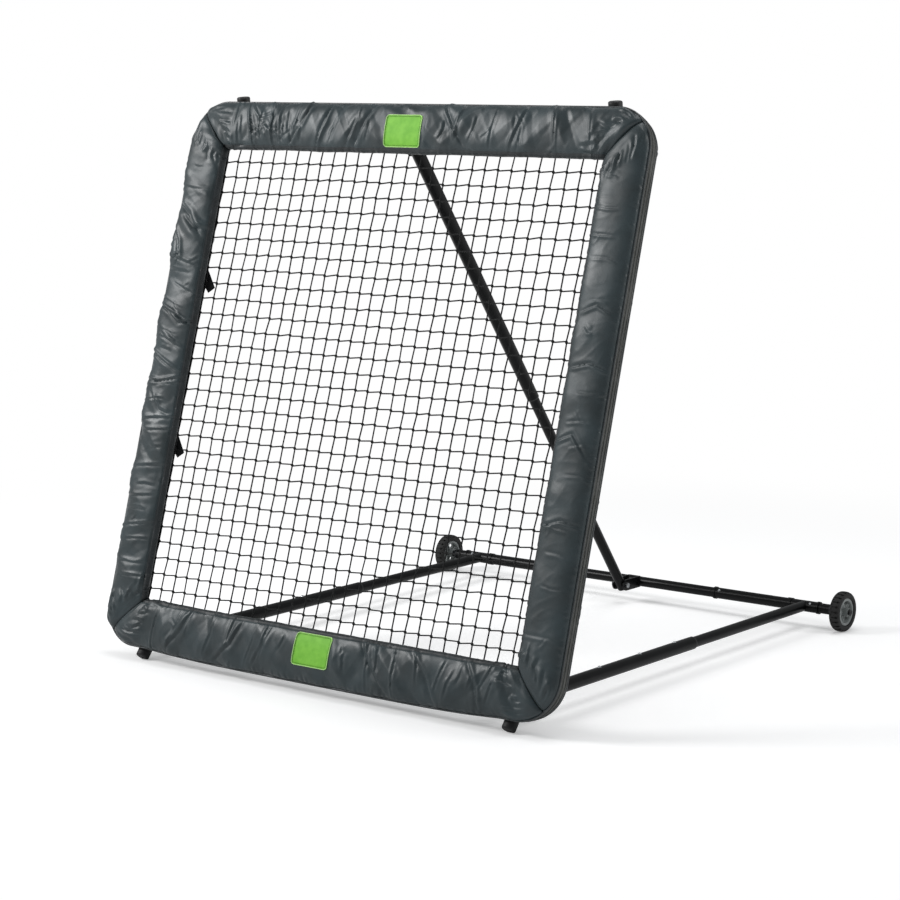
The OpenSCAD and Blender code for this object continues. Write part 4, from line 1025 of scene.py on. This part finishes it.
# Lights: name, place and size in m, power in W
LIGHTS = (("key", (-4.2, -3.7, 3.8), 2.2, 225), ("top", (0.5, 0.5, 6.0), 4.0, 100), ("rim", (4.5, 1.5, 3.0), 2.0, 50))
AIM = Vector((0, 0, 0.7))


def floor_material():
    """Pale floor that takes the soft shadows: it shows white where no shadow falls, and white far from the object."""
    material, tree, principled = new_material("pale_floor", Base_Color=srgb("#f4f4f4"), Roughness=0.9,
                                              Specular_IOR_Level=0.1)
    output = tree.nodes["Material Output"]
    path = add_node(tree, "ShaderNodeLightPath")
    level = add_node(tree, "ShaderNodeMath", {0: path.outputs["Is Camera Ray"], 1: FLOOR_LIFT}, operation="MULTIPLY")
    tree.links.new(level.outputs[0], principled.inputs["Emission Strength"])
    principled.inputs["Emission Color"].default_value = WHITE
    where = object_coords(tree)
    radius = add_node(tree, "ShaderNodeVectorMath", {0: where}, operation="LENGTH")
    fade = add_node(tree, "ShaderNodeMapRange", {"Value": radius.outputs["Value"], "From Min": FLOOR_NEAR,
                                                 "From Max": FLOOR_FAR}, interpolation_type="SMOOTHSTEP")
    white = add_node(tree, "ShaderNodeEmission", {"Color": WHITE, "Strength": 1.0})
    mix = add_node(tree, "ShaderNodeMixShader", {0: fade.outputs[0], 1: principled.outputs[0], 2: white.outputs[0]})
    tree.links.new(mix.outputs[0], output.inputs["Surface"])
    return material


def make_floor():
    """Flat floor far wider than the view."""
    bm = bmesh.new()
    bmesh.ops.create_grid(bm, x_segments=1, y_segments=1, size=FLOOR_HALF)
    mesh = bpy.data.meshes.new("floor")
    bm.to_mesh(mesh)
    bm.free()
    mesh.materials.append(floor_material())
    floor = bpy.data.objects.new("floor", mesh)
    bpy.context.scene.collection.objects.link(floor)


def make_light(name, place, size, power):
    """Large soft area light, aimed at the object."""
    data = bpy.data.lights.new(name, "AREA")
    data.shape = "DISK"
    data.size = size
    data.energy = power
    light = bpy.data.objects.new(name, data)
    bpy.context.scene.collection.objects.link(light)
    light.location = place
    light.rotation_euler = (AIM - Vector(place)).to_track_quat("-Z", "Y").to_euler()


def make_world():
    """White to the camera, soft grey-white for light and reflections."""
    world = bpy.data.worlds.new("studio")
    bpy.context.scene.world = world
    world.use_nodes = True
    tree = world.node_tree
    tree.nodes.clear()
    path = add_node(tree, "ShaderNodeLightPath")
    seen = add_node(tree, "ShaderNodeBackground", {"Color": WHITE, "Strength": 1.0})
    fill = add_node(tree, "ShaderNodeBackground", {"Color": (0.96, 0.98, 1, 1), "Strength": FILL})
    mix = add_node(tree, "ShaderNodeMixShader", {0: path.outputs["Is Camera Ray"], 1: fill.outputs[0],
                                                 2: seen.outputs[0]})
    add_node(tree, "ShaderNodeOutputWorld", {"Surface": mix.outputs[0]})


make_floor()
make_world()
for light in LIGHTS:
    make_light(*light)
bpy.context.scene.view_settings.view_transform = "Standard"
